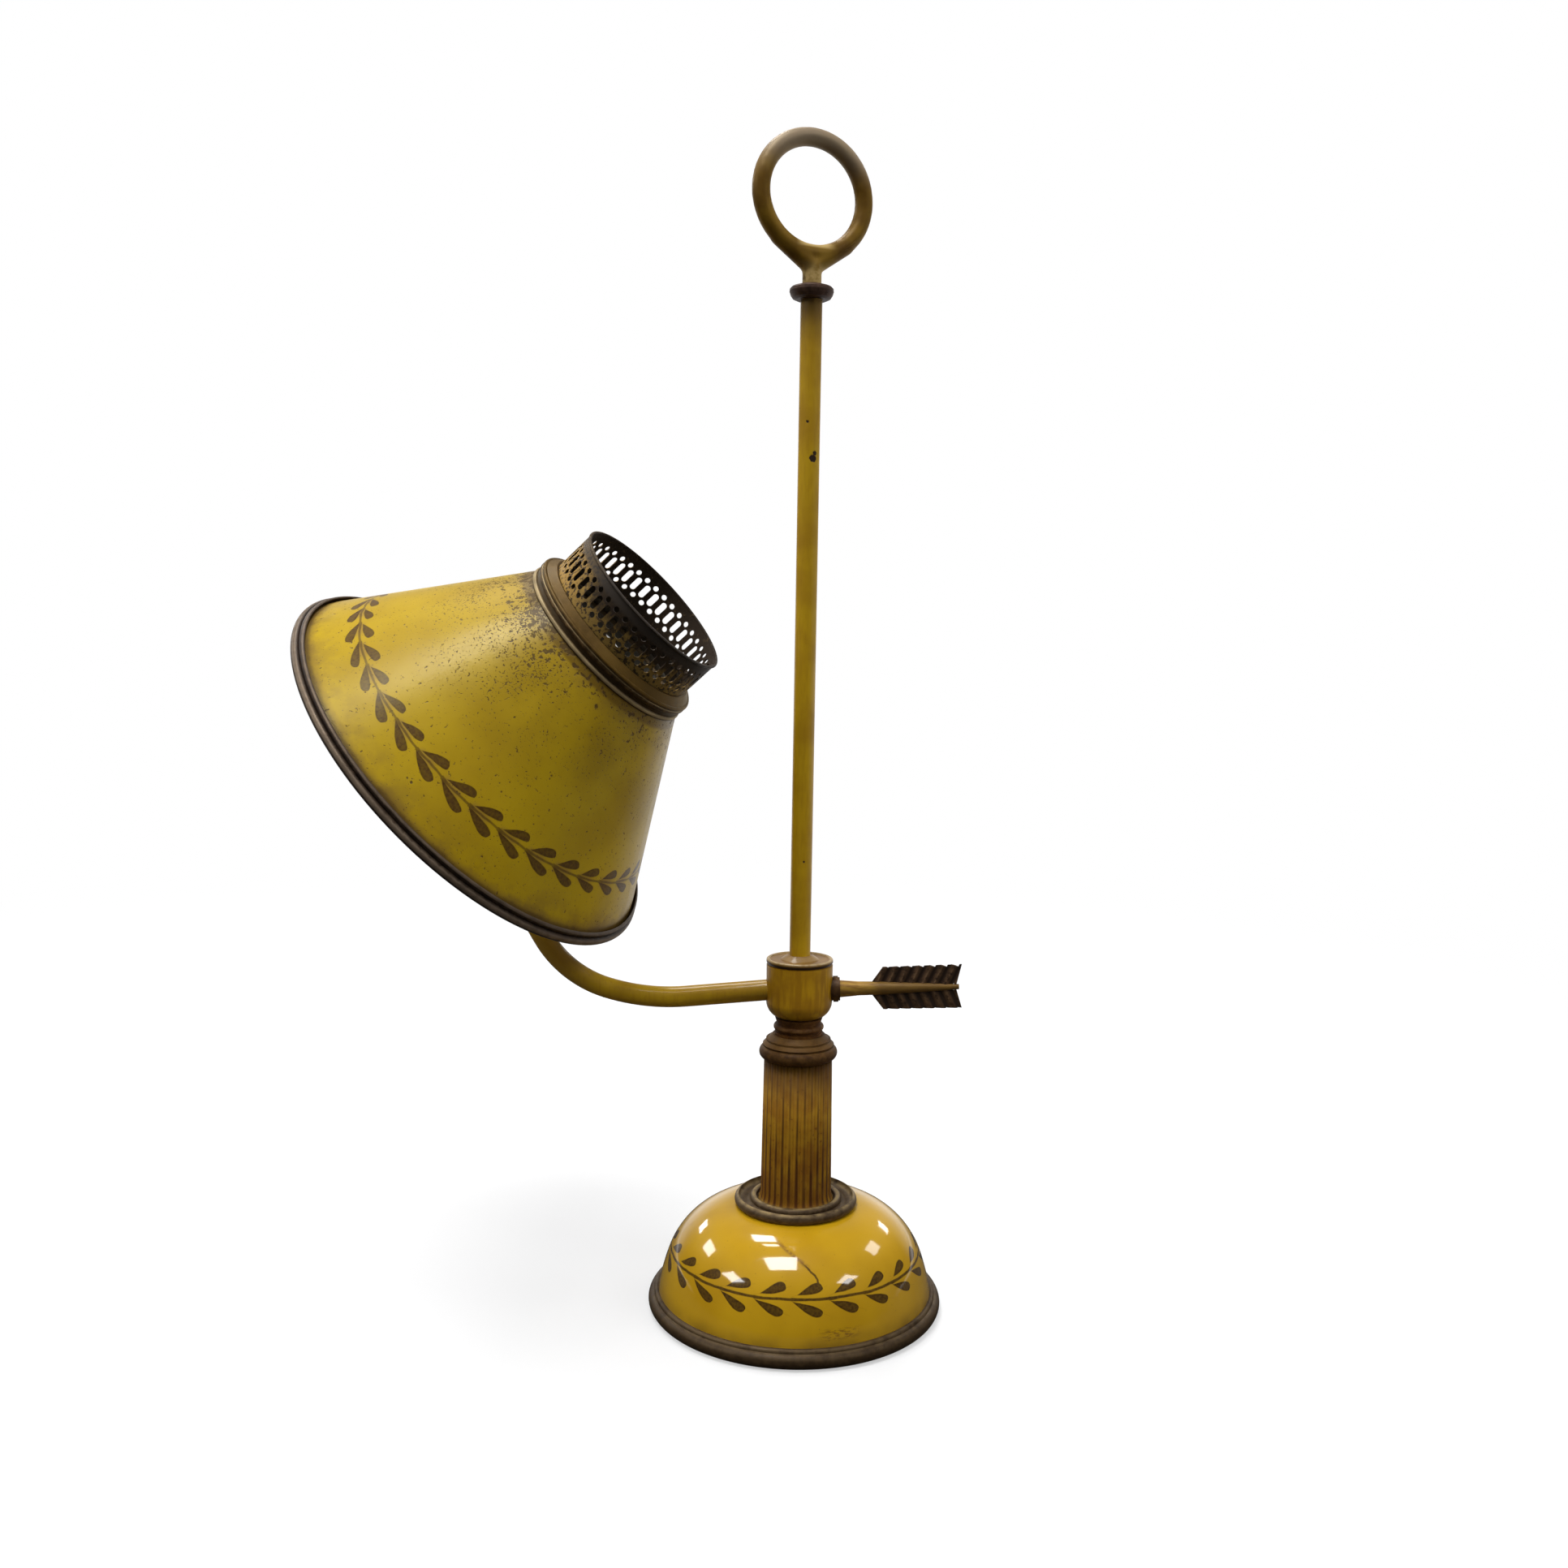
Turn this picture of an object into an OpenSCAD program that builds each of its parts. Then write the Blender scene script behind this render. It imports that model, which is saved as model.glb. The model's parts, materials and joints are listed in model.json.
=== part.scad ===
// Swing-arm table lamp: weighted dome base, reeded column, swivelling hub with a
// bent arm, a carrying ring on a tall rod, and a tilting pierced metal shade.

/* [Base] */
// Outer radius of the rolled foot rim
base_r = 67.5; // [64:0.5:72]
// Thickness of the spun base sheet
base_sheet = 0.8; // [0.6:0.1:1.2]
// Height of the dome's flat top above the table
dome_h = 47.3; // [46:0.1:49]
// Height of the iron weight's thick disc
weight_h = 22; // [14:1:22]

/* [Column] */
// Radius over the reeds
column_r = 16.2; // [15:0.1:17]
// Height of the reeded tube
column_h = 66.5; // [60:0.5:70]
// Number of reeds round the column
reed_count = 30; // [24:1:36]

/* [Hub] */
// Radius of the hub
hub_r = 15.1; // [14.5:0.1:17]
// Height of the straight hub wall and its rounded foot
hub_h = 24.6; // [20:0.1:27]

/* [Arm] */
// Radius of the arm tube
arm_r = 4.76; // [4.5:0.01:5]
// Droop of the arm where it leaves the hub, degrees
arm_droop = 5.5; // [3:0.5:8]
// Length of the straight stretch next to the hub
arm_run = 52; // [45:1:60]
// Radius of the long first bend
sweep_r = 95; // [80:1:110]
// Radius of the second bend
elbow_r = 50; // [40:1:60]
// Length of the straight stretch up to the knuckle
arm_rise = 63; // [55:1:70]

/* [Arrow] */
// Length of the fletched part
vane_length = 43.4; // [34:0.1:48]
// Height of one vane above the arrow shaft's axis
vane_h = 9.8; // [8:0.2:11]
// Number of barbs along a vane
barb_count = 7; // [6:1:10]

/* [Rod and ring] */
// Radius of the upright rod
rod_r = 4.76; // [4.5:0.01:5]
// Visible length of the rod
rod_length = 290.3; // [240:0.1:330]
// Radius of the carrying ring to the middle of its bar
ring_r = 25; // [22:0.5:28]
// Radius of the ring's bar
ring_bar_r = 4; // [3.6:0.1:4.6]
// Turn of the ring about the rod, degrees
ring_turn = 26; // [0:1:90]

/* [Shade] */
// Radius of the shade's mouth to the middle of its rim bead
mouth_r = 97.3; // [90:0.1:104]
// Radius where the cone meets the shoulder moulding
neck_r = 42; // [40:0.5:44]
// Height of the cone
cone_h = 83; // [76:1:88]
// Radius of the pierced gallery
gallery_r = 38; // [36:0.5:40]
// Number of upright slots round the gallery
slot_count = 44; // [36:1:48]
// Bend of the knuckle between arm and shade, degrees
shade_bend = 77.6; // [60:0.1:84]
// Turn of the shade about the arm's end, degrees
shade_pan = 11.4; // [0:0.1:30]

/* [Hidden] */
$fn = 96;
eps = 0.01;

// Finishes
ochre = "#b08a1e";
yellow = "#d2a326";
brass = "#7a6236";
dark = "#3b2a1c";
steel = "#9a9a96";

// Base stack, heights above the table
felt_h = 1.2;
sheet_foot_z = felt_h;
side_arc = [-24.56, -6.54];
side_arc_r = 88.66;
side_turn = 20.65;
shoulder_arc_r = 34.8;
join_z = side_arc.y + side_arc_r * sin(side_turn);
join_r = side_arc.x + side_arc_r * cos(side_turn);
shoulder_arc = [join_r - shoulder_arc_r * cos(side_turn), dome_h - shoulder_arc_r];
pipe_r = 4.8;
pipe_bore_r = 3.2;
pipe_foot_z = 8;
weight_foot_z = 5;
weight_r = 52;
recess_r = 14;
recess_top_z = 16;
washer_h = 1.6;
nut_h = 5;
bushing_z = 20;
bushing_hole_r = 5;
cord_bore_r = 3.6;
bushing_in_y = 51;
bushing_out_y = 63.4;
collar_h = 2.4;
collar_bead_r = 2.4;
collar_r = 28.2;
foot_bead_r = 1.7;
column_foot_z = dome_h + collar_h;
column_top_z = column_foot_z + column_h;
column_bore_r = 14;
cap_h = 11.3;
spool_foot_z = column_top_z + cap_h;
spool_h = 7.9;
spool_top_z = spool_foot_z + spool_h;
swivel_gap = 0.05;
friction_h = 0.6;

// Hub
hub_z = spool_top_z + friction_h + swivel_gap;
hub_floor = 5;
hub_top_z = hub_z + hub_h;
cavity_r = 12.3;
foot_round = 8;
cap_disc_h = 2;
cap_lip_r = 0.8;
cap_plug_h = 3;
cap_top_z = hub_top_z + cap_disc_h;
cap_floor_z = cap_top_z - 0.6;
boss_foot_r = 9;
boss_top_r = 5.6;
rod_foot_z = cap_top_z + 1.5;
arm_z = hub_z + 12.9;
arrow_z = hub_z + 11.9;
arrow_rise = 2;
pipe_top_z = hub_z + 10.5;

// Arm path in the XZ plane: heading f is measured up from -X
sweep_f = 16.5;
elbow_f = 60;
function heading(f) = [-cos(f), 0, sin(f)];
function normal_up(f) = [sin(f), 0, cos(f)];
arm_p1 = [0, 0, arm_z] + arm_run * heading(-arm_droop);
sweep_c = arm_p1 + sweep_r * normal_up(-arm_droop);
arm_p2 = sweep_c - sweep_r * normal_up(sweep_f);
elbow_c = arm_p2 + elbow_r * normal_up(sweep_f);
arm_p3 = elbow_c - elbow_r * normal_up(elbow_f);
arm_end = arm_p3 + arm_rise * heading(elbow_f);
pivot_reach = 16;
pivot = arm_end + pivot_reach * heading(elbow_f);
arm_wall = 1;
arm_inset = 9;
rod_bore_r = rod_r - 1;
arrow_stub_r = 2.6;

// Knuckle, about the pivot
cheek_r = 6.4;
cheek_gap = 5.2;
cheek_t = 2.2;
tongue_t = 4.9;
tongue_r = 6.2;
screw_r = 2;
flange_z = -9.5;
spigot_r = 3;

// Socket, bulb and shade, measured from the pivot along the shade's axis
cap_foot = 8;
cap_rim = 22;
socket_r = 16.4;
socket_rim = 57;
key_z = 30;
key_shaft_r = 1.9;
mouth_z = 14;
neck_z = mouth_z + 1.5 + cone_h;
cone_foot_r = mouth_r - 0.5;
cone_sheet = 0.72;
gallery_foot_z = neck_z + 8.5;
gallery_top_z = neck_z + 28.5;
gallery_sheet = 0.6;
cone_slope = (cone_foot_r - neck_r) / (neck_z - mouth_z - 0.7);
ring_z = 46;
hoop_z = neck_z - 4;
wire_r = 1.1;
hoop_r = neck_r - cone_sheet + (neck_z - hoop_z) * cone_slope - (wire_r + 0.02) * norm([1, cone_slope]);
bulb_r = 22.5;
bulb_z = 77;

module at_pivot() translate(pivot) rotate([0, elbow_f - 90, 0]) rotate([0, 0, -shade_pan]) children();
module at_head() at_pivot() rotate([0, shade_bend, 0]) children();
module along(p, f) translate(p) rotate([0, f - 90, 0]) children();
module ring(r_out, r_in, h) difference() {
  cylinder(r = r_out, h = h);
  translate([0, 0, -eps]) cylinder(r = r_in, h = h + 2 * eps);
}
module hex_nut(across, bore, h) difference() {
  cylinder(r = across / sqrt(3), h = h, $fn = 6);
  translate([0, 0, -eps]) cylinder(r = bore, h = h + 2 * eps);
}
module band(z0, z1, r0 = 0, r1 = 120) translate([r0, z0]) square([r1 - r0, z1 - z0]);

// Half section of the dome, pulled in by t from its outer skin
module dome_area(t, foot = sheet_foot_z) {
  intersection() {
    translate(side_arc) circle(side_arc_r - t);
    band(foot, join_z);
  }
  intersection() {
    translate(shoulder_arc) circle(shoulder_arc_r - t);
    band(join_z, dome_h, shoulder_arc.x);
  }
  band(join_z, dome_h - t, 0, shoulder_arc.x);
}

// ---- Base ----

module base_felt() color("#2d4a33") cylinder(r = base_r - 3.2, h = felt_h);

module base_shell() color(yellow) difference() {
  rotate_extrude() difference() {
    dome_area(0);
    dome_area(base_sheet, sheet_foot_z - 1);
    band(0, 60, 0, pipe_r);
  }
  translate([0, 45, bushing_z]) rotate([-90, 0, 0]) cylinder(r = bushing_hole_r, h = 25);
}

// Rolled brass rim: one broad roll with a fine bead above it, wrapped on the sheet's edge
roll_r = 3.4;
roll_z = 3.7;
rim_bead_r = 1.5;
module base_rim() color(brass) rotate_extrude() difference() {
  union() {
    translate([base_r - roll_r, roll_z]) circle(roll_r);
    band(felt_h, roll_z + 2, base_r - 6, base_r - roll_r);
    translate([base_r - 4.2, 7.1]) circle(rim_bead_r);
    band(roll_z + 2, 7.1, base_r - 6, base_r - 3.4);
  }
  dome_area(0, 0);
  band(0, felt_h, 0, base_r - 3.2);
}

module base_weight() color("#4a4a4c") difference() {
  union() {
    translate([0, 0, weight_foot_z]) cylinder(r = weight_r, h = weight_h);
    translate([0, 0, weight_foot_z]) cylinder(r = 17, h = dome_h - base_sheet - weight_foot_z);
  }
  cylinder(r = pipe_r + 0.4, h = 60);
  cylinder(r = recess_r, h = recess_top_z);
  translate([-5.5, 0, 0]) cube([11, weight_r + 5, bushing_z + 5.5]);
}

module base_washer() color(steel) translate([0, 0, recess_top_z - washer_h]) ring(12, pipe_r + 0.2, washer_h);

module base_nut() color(steel)
  translate([0, 0, recess_top_z - washer_h - nut_h]) hex_nut(14.5, pipe_r, nut_h);

// Bushing through the back wall, where a cord would come in
module cord_bushing() color(dark) difference() {
  union() {
    translate([0, bushing_in_y, bushing_z]) rotate([-90, 0, 0])
      cylinder(r = bushing_hole_r - 0.05, h = bushing_out_y - bushing_in_y);
    difference() {
      translate([0, 57, bushing_z]) rotate([-90, 0, 0]) cylinder(r = 6.8, h = bushing_out_y - 57);
      rotate_extrude() dome_area(0, 0);
    }
  }
  translate([0, bushing_in_y - 1, bushing_z]) rotate([-90, 0, 0])
    cylinder(r = cord_bore_r, h = bushing_out_y - bushing_in_y + 2);
}

module dome_collar() color(brass) rotate_extrude() difference() {
  union() {
    band(dome_h, column_foot_z, pipe_r + 0.2, collar_r - collar_bead_r);
    translate([collar_r - collar_bead_r, dome_h + collar_bead_r]) circle(collar_bead_r);
    translate([19.4, column_foot_z + 0.6]) circle(foot_bead_r);
    band(dome_h, column_foot_z + 1.6, column_r + 1.9, 19.4);
  }
  translate([23.7, column_foot_z + 2.2]) circle(2.7);
  band(column_foot_z, column_foot_z + 5, 0, column_r + 1.9);
}

// ---- Column ----

module column() color(ochre) difference() {
  union() {
    translate([0, 0, column_foot_z]) cylinder(r = column_r, h = column_h);
    translate([0, 0, column_foot_z]) cylinder(r1 = column_r + 1.8, r2 = column_r, h = 4.5);
  }
  translate([0, 0, column_foot_z - 1]) cylinder(r = column_bore_r, h = column_h + 2);
  for (i = [0:reed_count - 1]) rotate([0, 0, (i + 0.5) * 360 / reed_count])
    translate([column_r + 0.15, 0, column_foot_z + 0.8]) cylinder(r = 0.7, h = column_h, $fn = 24);
}

// Moulded cap: one broad bead under a sloping shoulder
cap_bead_r = 3.1;
module column_cap() color(brass) rotate_extrude() union() {
  band(column_top_z, spool_foot_z - 2, pipe_r + 0.2, 14.8);
  translate([14.8, column_top_z + cap_bead_r]) circle(cap_bead_r);
  polygon([[pipe_r + 0.2, spool_foot_z - 6], [15.9, column_top_z + 5.8], [16.3, column_top_z + 6.9],
    [12.6, spool_foot_z - 0.7], [12, spool_foot_z], [pipe_r + 0.2, spool_foot_z]]);
}

module neck_spool() color(brass) rotate_extrude() union() {
  band(spool_foot_z, spool_top_z, pipe_r + 0.1, 10.2);
  band(spool_foot_z, spool_foot_z + 1.2, pipe_r + 0.1, 11);
  translate([10, spool_foot_z + 3.5]) circle(1.5);
  polygon([[9, spool_top_z - 2], [10.2, spool_top_z - 2], [10.9, spool_top_z], [9, spool_top_z]]);
}

module center_pipe() color(steel) translate([0, 0, pipe_foot_z])
  ring(pipe_r, pipe_bore_r, pipe_top_z - pipe_foot_z);

module swivel_washer() color("#6b3a22") translate([0, 0, spool_top_z]) ring(9.5, pipe_r + 0.1, friction_h);

module wave_washer() color(steel) translate([0, 0, hub_z + hub_floor + swivel_gap]) ring(8, pipe_r + 0.1, 0.8);

module hub_locknut() color(steel)
  translate([0, 0, hub_z + hub_floor + swivel_gap + 0.8]) hex_nut(12.7, pipe_r, 4);

// Two-core lead from the bushing, under the pipe and up into the hub
lead_r = 1.4;
lead_low_z = 4.5;
module rod_between(a, b, r) {
  v = b - a;
  translate(a) rotate([0, acos(v.z / norm(v)), atan2(v.y, v.x)]) cylinder(r = r, h = norm(v));
}
lead_end_y = bushing_in_y - 3;
module column_lead() color("#2b2b2b") union() {
  translate([0, 0, lead_low_z]) {
    cylinder(r = lead_r, h = pipe_top_z + 1.5 - lead_low_z);
    sphere(lead_r);
  }
  rod_between([0, 0, lead_low_z], [0, lead_end_y, bushing_z], lead_r);
}

// ---- Hub, rod and ring ----

module hub_body() color(ochre) difference() {
  rotate_extrude() difference() {
    union() {
      intersection() {
        translate([hub_r - foot_round, hub_z + foot_round - 1]) circle(foot_round);
        band(hub_z, hub_z + foot_round);
      }
      band(hub_z, hub_z + foot_round, 0, hub_r - foot_round);
      band(hub_z + foot_round - 1, hub_top_z - 1, 0, hub_r);
      band(hub_top_z - 1.01, hub_top_z, 0, hub_r - 0.7);
    }
    band(hub_z + hub_floor, hub_top_z + 1, 0, cavity_r);
    band(hub_z - 1, hub_z + hub_floor + 1, 0, pipe_r + swivel_gap);
  }
  along([0, 0, arm_z] + 9 * heading(-arm_droop), -arm_droop) cylinder(r = arm_r, h = 9);
  on_arrow(9) cylinder(r = arrow_stub_r, h = 9);
}

module hub_cap() color(ochre) rotate_extrude() difference() {
  union() {
    band(hub_top_z, cap_floor_z, 0, hub_r - 0.3);
    translate([hub_r + 0.1 - cap_lip_r, cap_top_z - cap_lip_r]) circle(cap_lip_r);
    band(hub_top_z + 0.4, cap_top_z - cap_lip_r, 0, hub_r + 0.1);
    band(hub_top_z - cap_plug_h, hub_top_z + 1, 0, cavity_r - 0.1);
    polygon([[0, hub_top_z], [boss_foot_r, hub_top_z], [boss_foot_r, cap_floor_z],
      [boss_top_r + 0.6, rod_foot_z - 0.4], [boss_top_r, rod_foot_z], [0, rod_foot_z]]);
  }
  band(hub_top_z - 10, rod_foot_z + 5, 0, rod_bore_r);
}

module rod_nipple() color(steel) translate([0, 0, hub_top_z - cap_plug_h - 3.6])
  ring(rod_bore_r, 1.6, rod_foot_z - hub_top_z + cap_plug_h + 3.6 + 8);

module rod_nut() color(steel) translate([0, 0, hub_top_z - cap_plug_h - 3]) hex_nut(11, rod_bore_r, 3);

module stem_rod() color(ochre) translate([0, 0, rod_foot_z]) ring(rod_r, rod_bore_r, rod_length);

rod_top_z = rod_foot_z + rod_length;
collar_top_z = rod_top_z + 6.2;
module finial_collar() color(dark) rotate_extrude() polygon([[rod_bore_r, rod_top_z], [6.8, rod_top_z],
  [8.4, rod_top_z + 0.7], [9.2, rod_top_z + 1.9], [9.7, rod_top_z + 3.4], [9.6, rod_top_z + 4.5],
  [8.8, rod_top_z + 5.3], [7.4, rod_top_z + 5.7], [6, collar_top_z], [rod_bore_r, collar_top_z]]);

// Cast ring drawn down to its neck on both sides
ring_z_mid = collar_top_z + 37;
neck_rise = 9;
ring_neck_r = 4.3;
ring_shoulder_f = 42;
module ring_handle() color(ochre) rotate([0, 0, ring_turn]) union() {
  translate([0, 0, ring_z_mid]) rotate([90, 0, 0]) rotate_extrude() translate([ring_r, 0]) circle(ring_bar_r);
  translate([0, 0, rod_top_z - 10]) cylinder(r = rod_bore_r, h = 19);
  translate([0, 0, collar_top_z]) cylinder(r = ring_neck_r, h = neck_rise);
  translate([0, 0, collar_top_z + neck_rise]) sphere(ring_neck_r);
  for (side = [-1, 1]) rod_between([0, 0, collar_top_z + neck_rise],
    [side * ring_r * sin(ring_shoulder_f), 0, ring_z_mid - ring_r * cos(ring_shoulder_f)], ring_bar_r - 0.1);
}

// ---- Arm ----

// Neighbouring stretches overlap by joint_lap, each a hair thinner in the wall than the last
joint_lap = 0.4;
wall_step = 0.01;
module bend(c, r, f0, f1, r_out, r_in) let (turn = joint_lap / r * 180 / PI) translate(c) rotate([90, 0, 0])
  rotate([0, 0, -90 - f1 - turn]) rotate_extrude(angle = f1 - f0 + 2 * turn) translate([r, 0]) difference() {
    circle(r_out);
    if (r_in > 0) circle(r_in);
  }

module run(p, f, length, r_out, r_in) along(p, f) if (r_in > 0) ring(r_out, r_in, length);
  else cylinder(r = r_out, h = length);

module arm_path(r_out, r_in, start, end_cut) union() {
  bore_step = r_in > 0 ? wall_step : 0;
  run([0, 0, arm_z] + start * heading(-arm_droop), -arm_droop, arm_run - start, r_out, r_in);
  bend(sweep_c, sweep_r, -arm_droop, sweep_f, r_out - wall_step, r_in + bore_step);
  bend(elbow_c, elbow_r, sweep_f, elbow_f, r_out - 2 * wall_step, r_in + 2 * bore_step);
  run(arm_p3, elbow_f, arm_rise - end_cut, r_out, r_in);
}

module arm_tube() color(ochre) arm_path(arm_r, arm_r - arm_wall, arm_inset, 0);

module arm_locknut() color(steel) along([0, 0, arm_z] + arm_inset * heading(-arm_droop), -arm_droop)
  hex_nut(10.8, arm_r, 1.8);

module arm_lead() color("#2b2b2b") arm_path(lead_r, 0, arm_inset - 0.6, 8);

module arm_ferrule() color(ochre) along(pivot, elbow_f) difference() {
  translate([0, 0, -21]) cylinder(r = 6.6, h = 21 + flange_z - swivel_gap);
  translate([0, 0, -22]) cylinder(r = arm_r, h = 22 - pivot_reach);
  translate([0, 0, -22]) cylinder(r = spigot_r + swivel_gap, h = 22);
}

// ---- Arrow ----

module on_arrow(d) translate([0, 0, arrow_z]) rotate([0, 90 - arrow_rise, 0]) translate([0, 0, d]) children();
arrow_foot = hub_r - 0.4;
vane_foot = 32;
vane_t = 1.6;
module arrow_collar() color(dark) difference() {
  on_arrow(arrow_foot) rotate_extrude() {
    band(-1.3, 3.8, arrow_stub_r, 5.3);
    band(0.8, 3, arrow_stub_r, 5.9);
  }
  translate([0, 0, hub_z]) cylinder(r = hub_r, h = hub_h);
}

shaft_tip = vane_foot + vane_length - 2.5;
module arrow_shaft() color(ochre) on_arrow(0) rotate_extrude() polygon([[0, 11.6], [arrow_stub_r, 11.6],
  [arrow_stub_r, arrow_foot + 3.8], [3.9, arrow_foot + 3.8], [3.2, vane_foot - 5], [3, vane_foot + 6],
  [2.3, vane_foot + 20], [1.8, vane_foot + 30], [1.2, shaft_tip], [0, shaft_tip]]);

// One vane's outline: x along the arrow, y out from its axis, barbs swept back
front_lean = 6.5;
barb_pitch = (vane_length - front_lean) / barb_count;
function barb_points(i) = let (x = front_lean - 1 + i * barb_pitch)
  [[x, vane_h - 0.7], [x + 0.25 * barb_pitch, vane_h], [x + barb_pitch - 0.5, vane_h],
   [x + barb_pitch - 0.2, vane_h - 0.9]];
module vane_outline() polygon(concat([[-1.5, 1]], [for (i = [0:barb_count - 1]) each barb_points(i)],
  [[front_lean - 1 + barb_count * barb_pitch, vane_h - 0.4],
  [vane_length - 3.8, 1]]));
module arrow_vanes() color(dark) difference() {
  on_arrow(vane_foot) rotate([0, -90, -90]) linear_extrude(vane_t, center = true) {
    vane_outline();
    mirror([0, 1]) vane_outline();
  }
  arrow_shaft();
}

// ---- Knuckle ----

module knuckle_lower() color(brass) at_pivot() difference() {
  union() {
    translate([0, 0, flange_z]) cylinder(r = 6.6, h = 2.3);
    translate([0, 0, flange_z - 5]) cylinder(r = spigot_r, h = 6);
    for (side = [-1, 1]) translate([0, side * (cheek_gap + cheek_t) / 2, 0]) {
      rotate([90, 0, 0]) cylinder(r = cheek_r, h = cheek_t, center = true);
      translate([-4.6, -cheek_t / 2, flange_z + 1]) cube([9.2, cheek_t, -flange_z - 1]);
    }
  }
  translate([0, 0, flange_z - 6]) cylinder(r = 1.8, h = 10);
  rotate([90, 0, 0]) cylinder(r = screw_r, h = 20, center = true);
}

cheek_out = cheek_gap / 2 + cheek_t;
module knuckle_screw() color(steel) at_pivot() rotate([90, 0, 0]) {
  translate([0, 0, -cheek_out - 5]) cylinder(r = screw_r, h = 2 * cheek_out + 5);
  difference() {
    translate([0, 0, cheek_out]) cylinder(r = 4, h = 2.2);
    translate([-5, -0.5, cheek_out + 1.2]) cube([10, 1, 2]);
  }
}

module knuckle_nut() color(brass) at_pivot() rotate([-90, 0, 0]) translate([0, 0, cheek_out]) difference() {
  union() {
    cylinder(r = 3.6, h = 1);
    translate([0, 0, 1]) cylinder(r = 5.2, h = 4.4);
  }
  translate([0, 0, -1]) cylinder(r = screw_r, h = 10);
  for (i = [0:23]) rotate([0, 0, i * 15]) translate([5.45, 0, 0.5]) cylinder(r = 0.45, h = 6, $fn = 16);
}

module knuckle_upper() color(brass) at_head() difference() {
  union() {
    rotate([90, 0, 0]) cylinder(r = tongue_r, h = tongue_t, center = true);
    translate([-4, -tongue_t / 2, 0]) cube([8, tongue_t, 7.4]);
    translate([0, 0, 7.2]) cylinder(r = 6.6, h = cap_foot - 7.2);
    translate([0, 0, cap_foot - 0.1]) cylinder(r = 4.6, h = 6);
  }
  rotate([90, 0, 0]) cylinder(r = screw_r + swivel_gap, h = 20, center = true);
  translate([0, 0, 4]) cylinder(r = 1.7, h = 20);
}

// ---- Socket and bulb ----

module cap_area(t) polygon([[0, cap_foot + t], [9 - t / 2, cap_foot + t], [13.6 - t, cap_foot + 1.6 + t],
  [16.4 - t, cap_foot + 4.6 + t / 2], [17.2 - t, cap_foot + 8.4], [17.2 - t, cap_rim], [0, cap_rim]]);
module socket_cap() color(brass) at_head() rotate_extrude() difference() {
  cap_area(0);
  difference() {
    cap_area(0.8);
    band(cap_rim - 2, cap_rim, 16.4, 20);
  }
  band(cap_rim - 2, cap_rim + 1, 0, 16.4);
  band(0, cap_rim, 0, 4.6);
}

module socket_shell() color(brass) at_head() difference() {
  translate([0, 0, cap_rim - 2]) ring(socket_r, socket_r - 0.8, socket_rim - cap_rim + 2);
  translate([0, 0, key_z]) rotate([0, 90, 0]) cylinder(r = 3, h = 20);
}

module socket_insulator() color("#8a6a44") at_head() difference() {
  translate([0, 0, cap_rim]) ring(socket_r - 0.8, socket_r - 1.4, socket_rim - cap_rim - 1);
  translate([0, 0, key_z]) rotate([0, 90, 0]) cylinder(r = 3, h = 20);
}

interior_top = 36;
module socket_interior() color("#1f1b18") at_head() difference() {
  translate([0, 0, cap_rim - 4]) cylinder(r = socket_r - 1.5, h = interior_top - cap_rim + 4);
  translate([6, 0, key_z]) rotate([0, 90, 0]) cylinder(r = key_shaft_r + swivel_gap, h = 20);
}

module socket_screw_shell() color("#b98a3c") at_head() translate([0, 0, interior_top]) ring(13.4, 13, 20);

module socket_contact() color("#b98a3c") at_head() translate([0, 0, interior_top]) cylinder(r = 4, h = 1.6);

module turn_key() color("#1f1b18") at_head() translate([0, 0, key_z]) rotate([0, 90, 0]) union() {
  translate([0, 0, 6.2]) cylinder(r = key_shaft_r, h = 14);
  translate([0, 0, 18.4]) cylinder(r = 3, h = 2.4);
  difference() {
    translate([0, 0, 20]) rotate([90, 0, 0]) linear_extrude(3, center = true) union() {
      translate([0, 6]) circle(6);
      translate([-3, 0]) square([6, 6]);
    }
    translate([-10, -10, 30]) cube([20, 20, 5]);
  }
}

module bulb_base() color("#b5b5b0") at_head() union() {
  translate([0, 0, interior_top + 1.6]) cylinder(r = 5, h = 2);
  translate([0, 0, interior_top + 3.4]) cylinder(r = 13, h = 20);
}

module bulb_area(t) {
  intersection() {
    translate([0, bulb_z]) circle(bulb_r - t);
    band(bulb_z - 14, bulb_z + 40);
  }
  polygon([[0, interior_top + 23.4 - t], [12 - t, interior_top + 23.4 - t], [12.8 - t, interior_top + 25],
    [sqrt(bulb_r * bulb_r - 14 * 14) - t, bulb_z - 14], [0, bulb_z - 13]]);
}
module bulb_glass() color("#f4efe2") at_head() rotate_extrude() difference() {
  bulb_area(0);
  translate([0, 0.9]) bulb_area(0.9);
}

// ---- Shade ----

module shade_ring() color(brass) at_head() translate([0, 0, ring_z]) ring(19.6, socket_r, 4);

module shade_spider() color(brass) at_head() union() {
  translate([0, 0, ring_z + 4]) ring(20, socket_r, 1.2);
  for (i = [0:2]) rotate([0, 0, 30 + 120 * i])
    rod_between([18.6, 0, ring_z + 4.8], [hoop_r - 0.4, 0, hoop_z], wire_r);
  translate([0, 0, hoop_z]) rotate_extrude() translate([hoop_r, 0]) circle(wire_r);
}

module cone_area() polygon([[cone_foot_r - cone_sheet, mouth_z], [cone_foot_r, mouth_z + 0.7],
  [neck_r, neck_z], [neck_r - cone_sheet, neck_z]]);
module shade_cone() color(yellow) at_head() rotate_extrude() cone_area();

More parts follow.
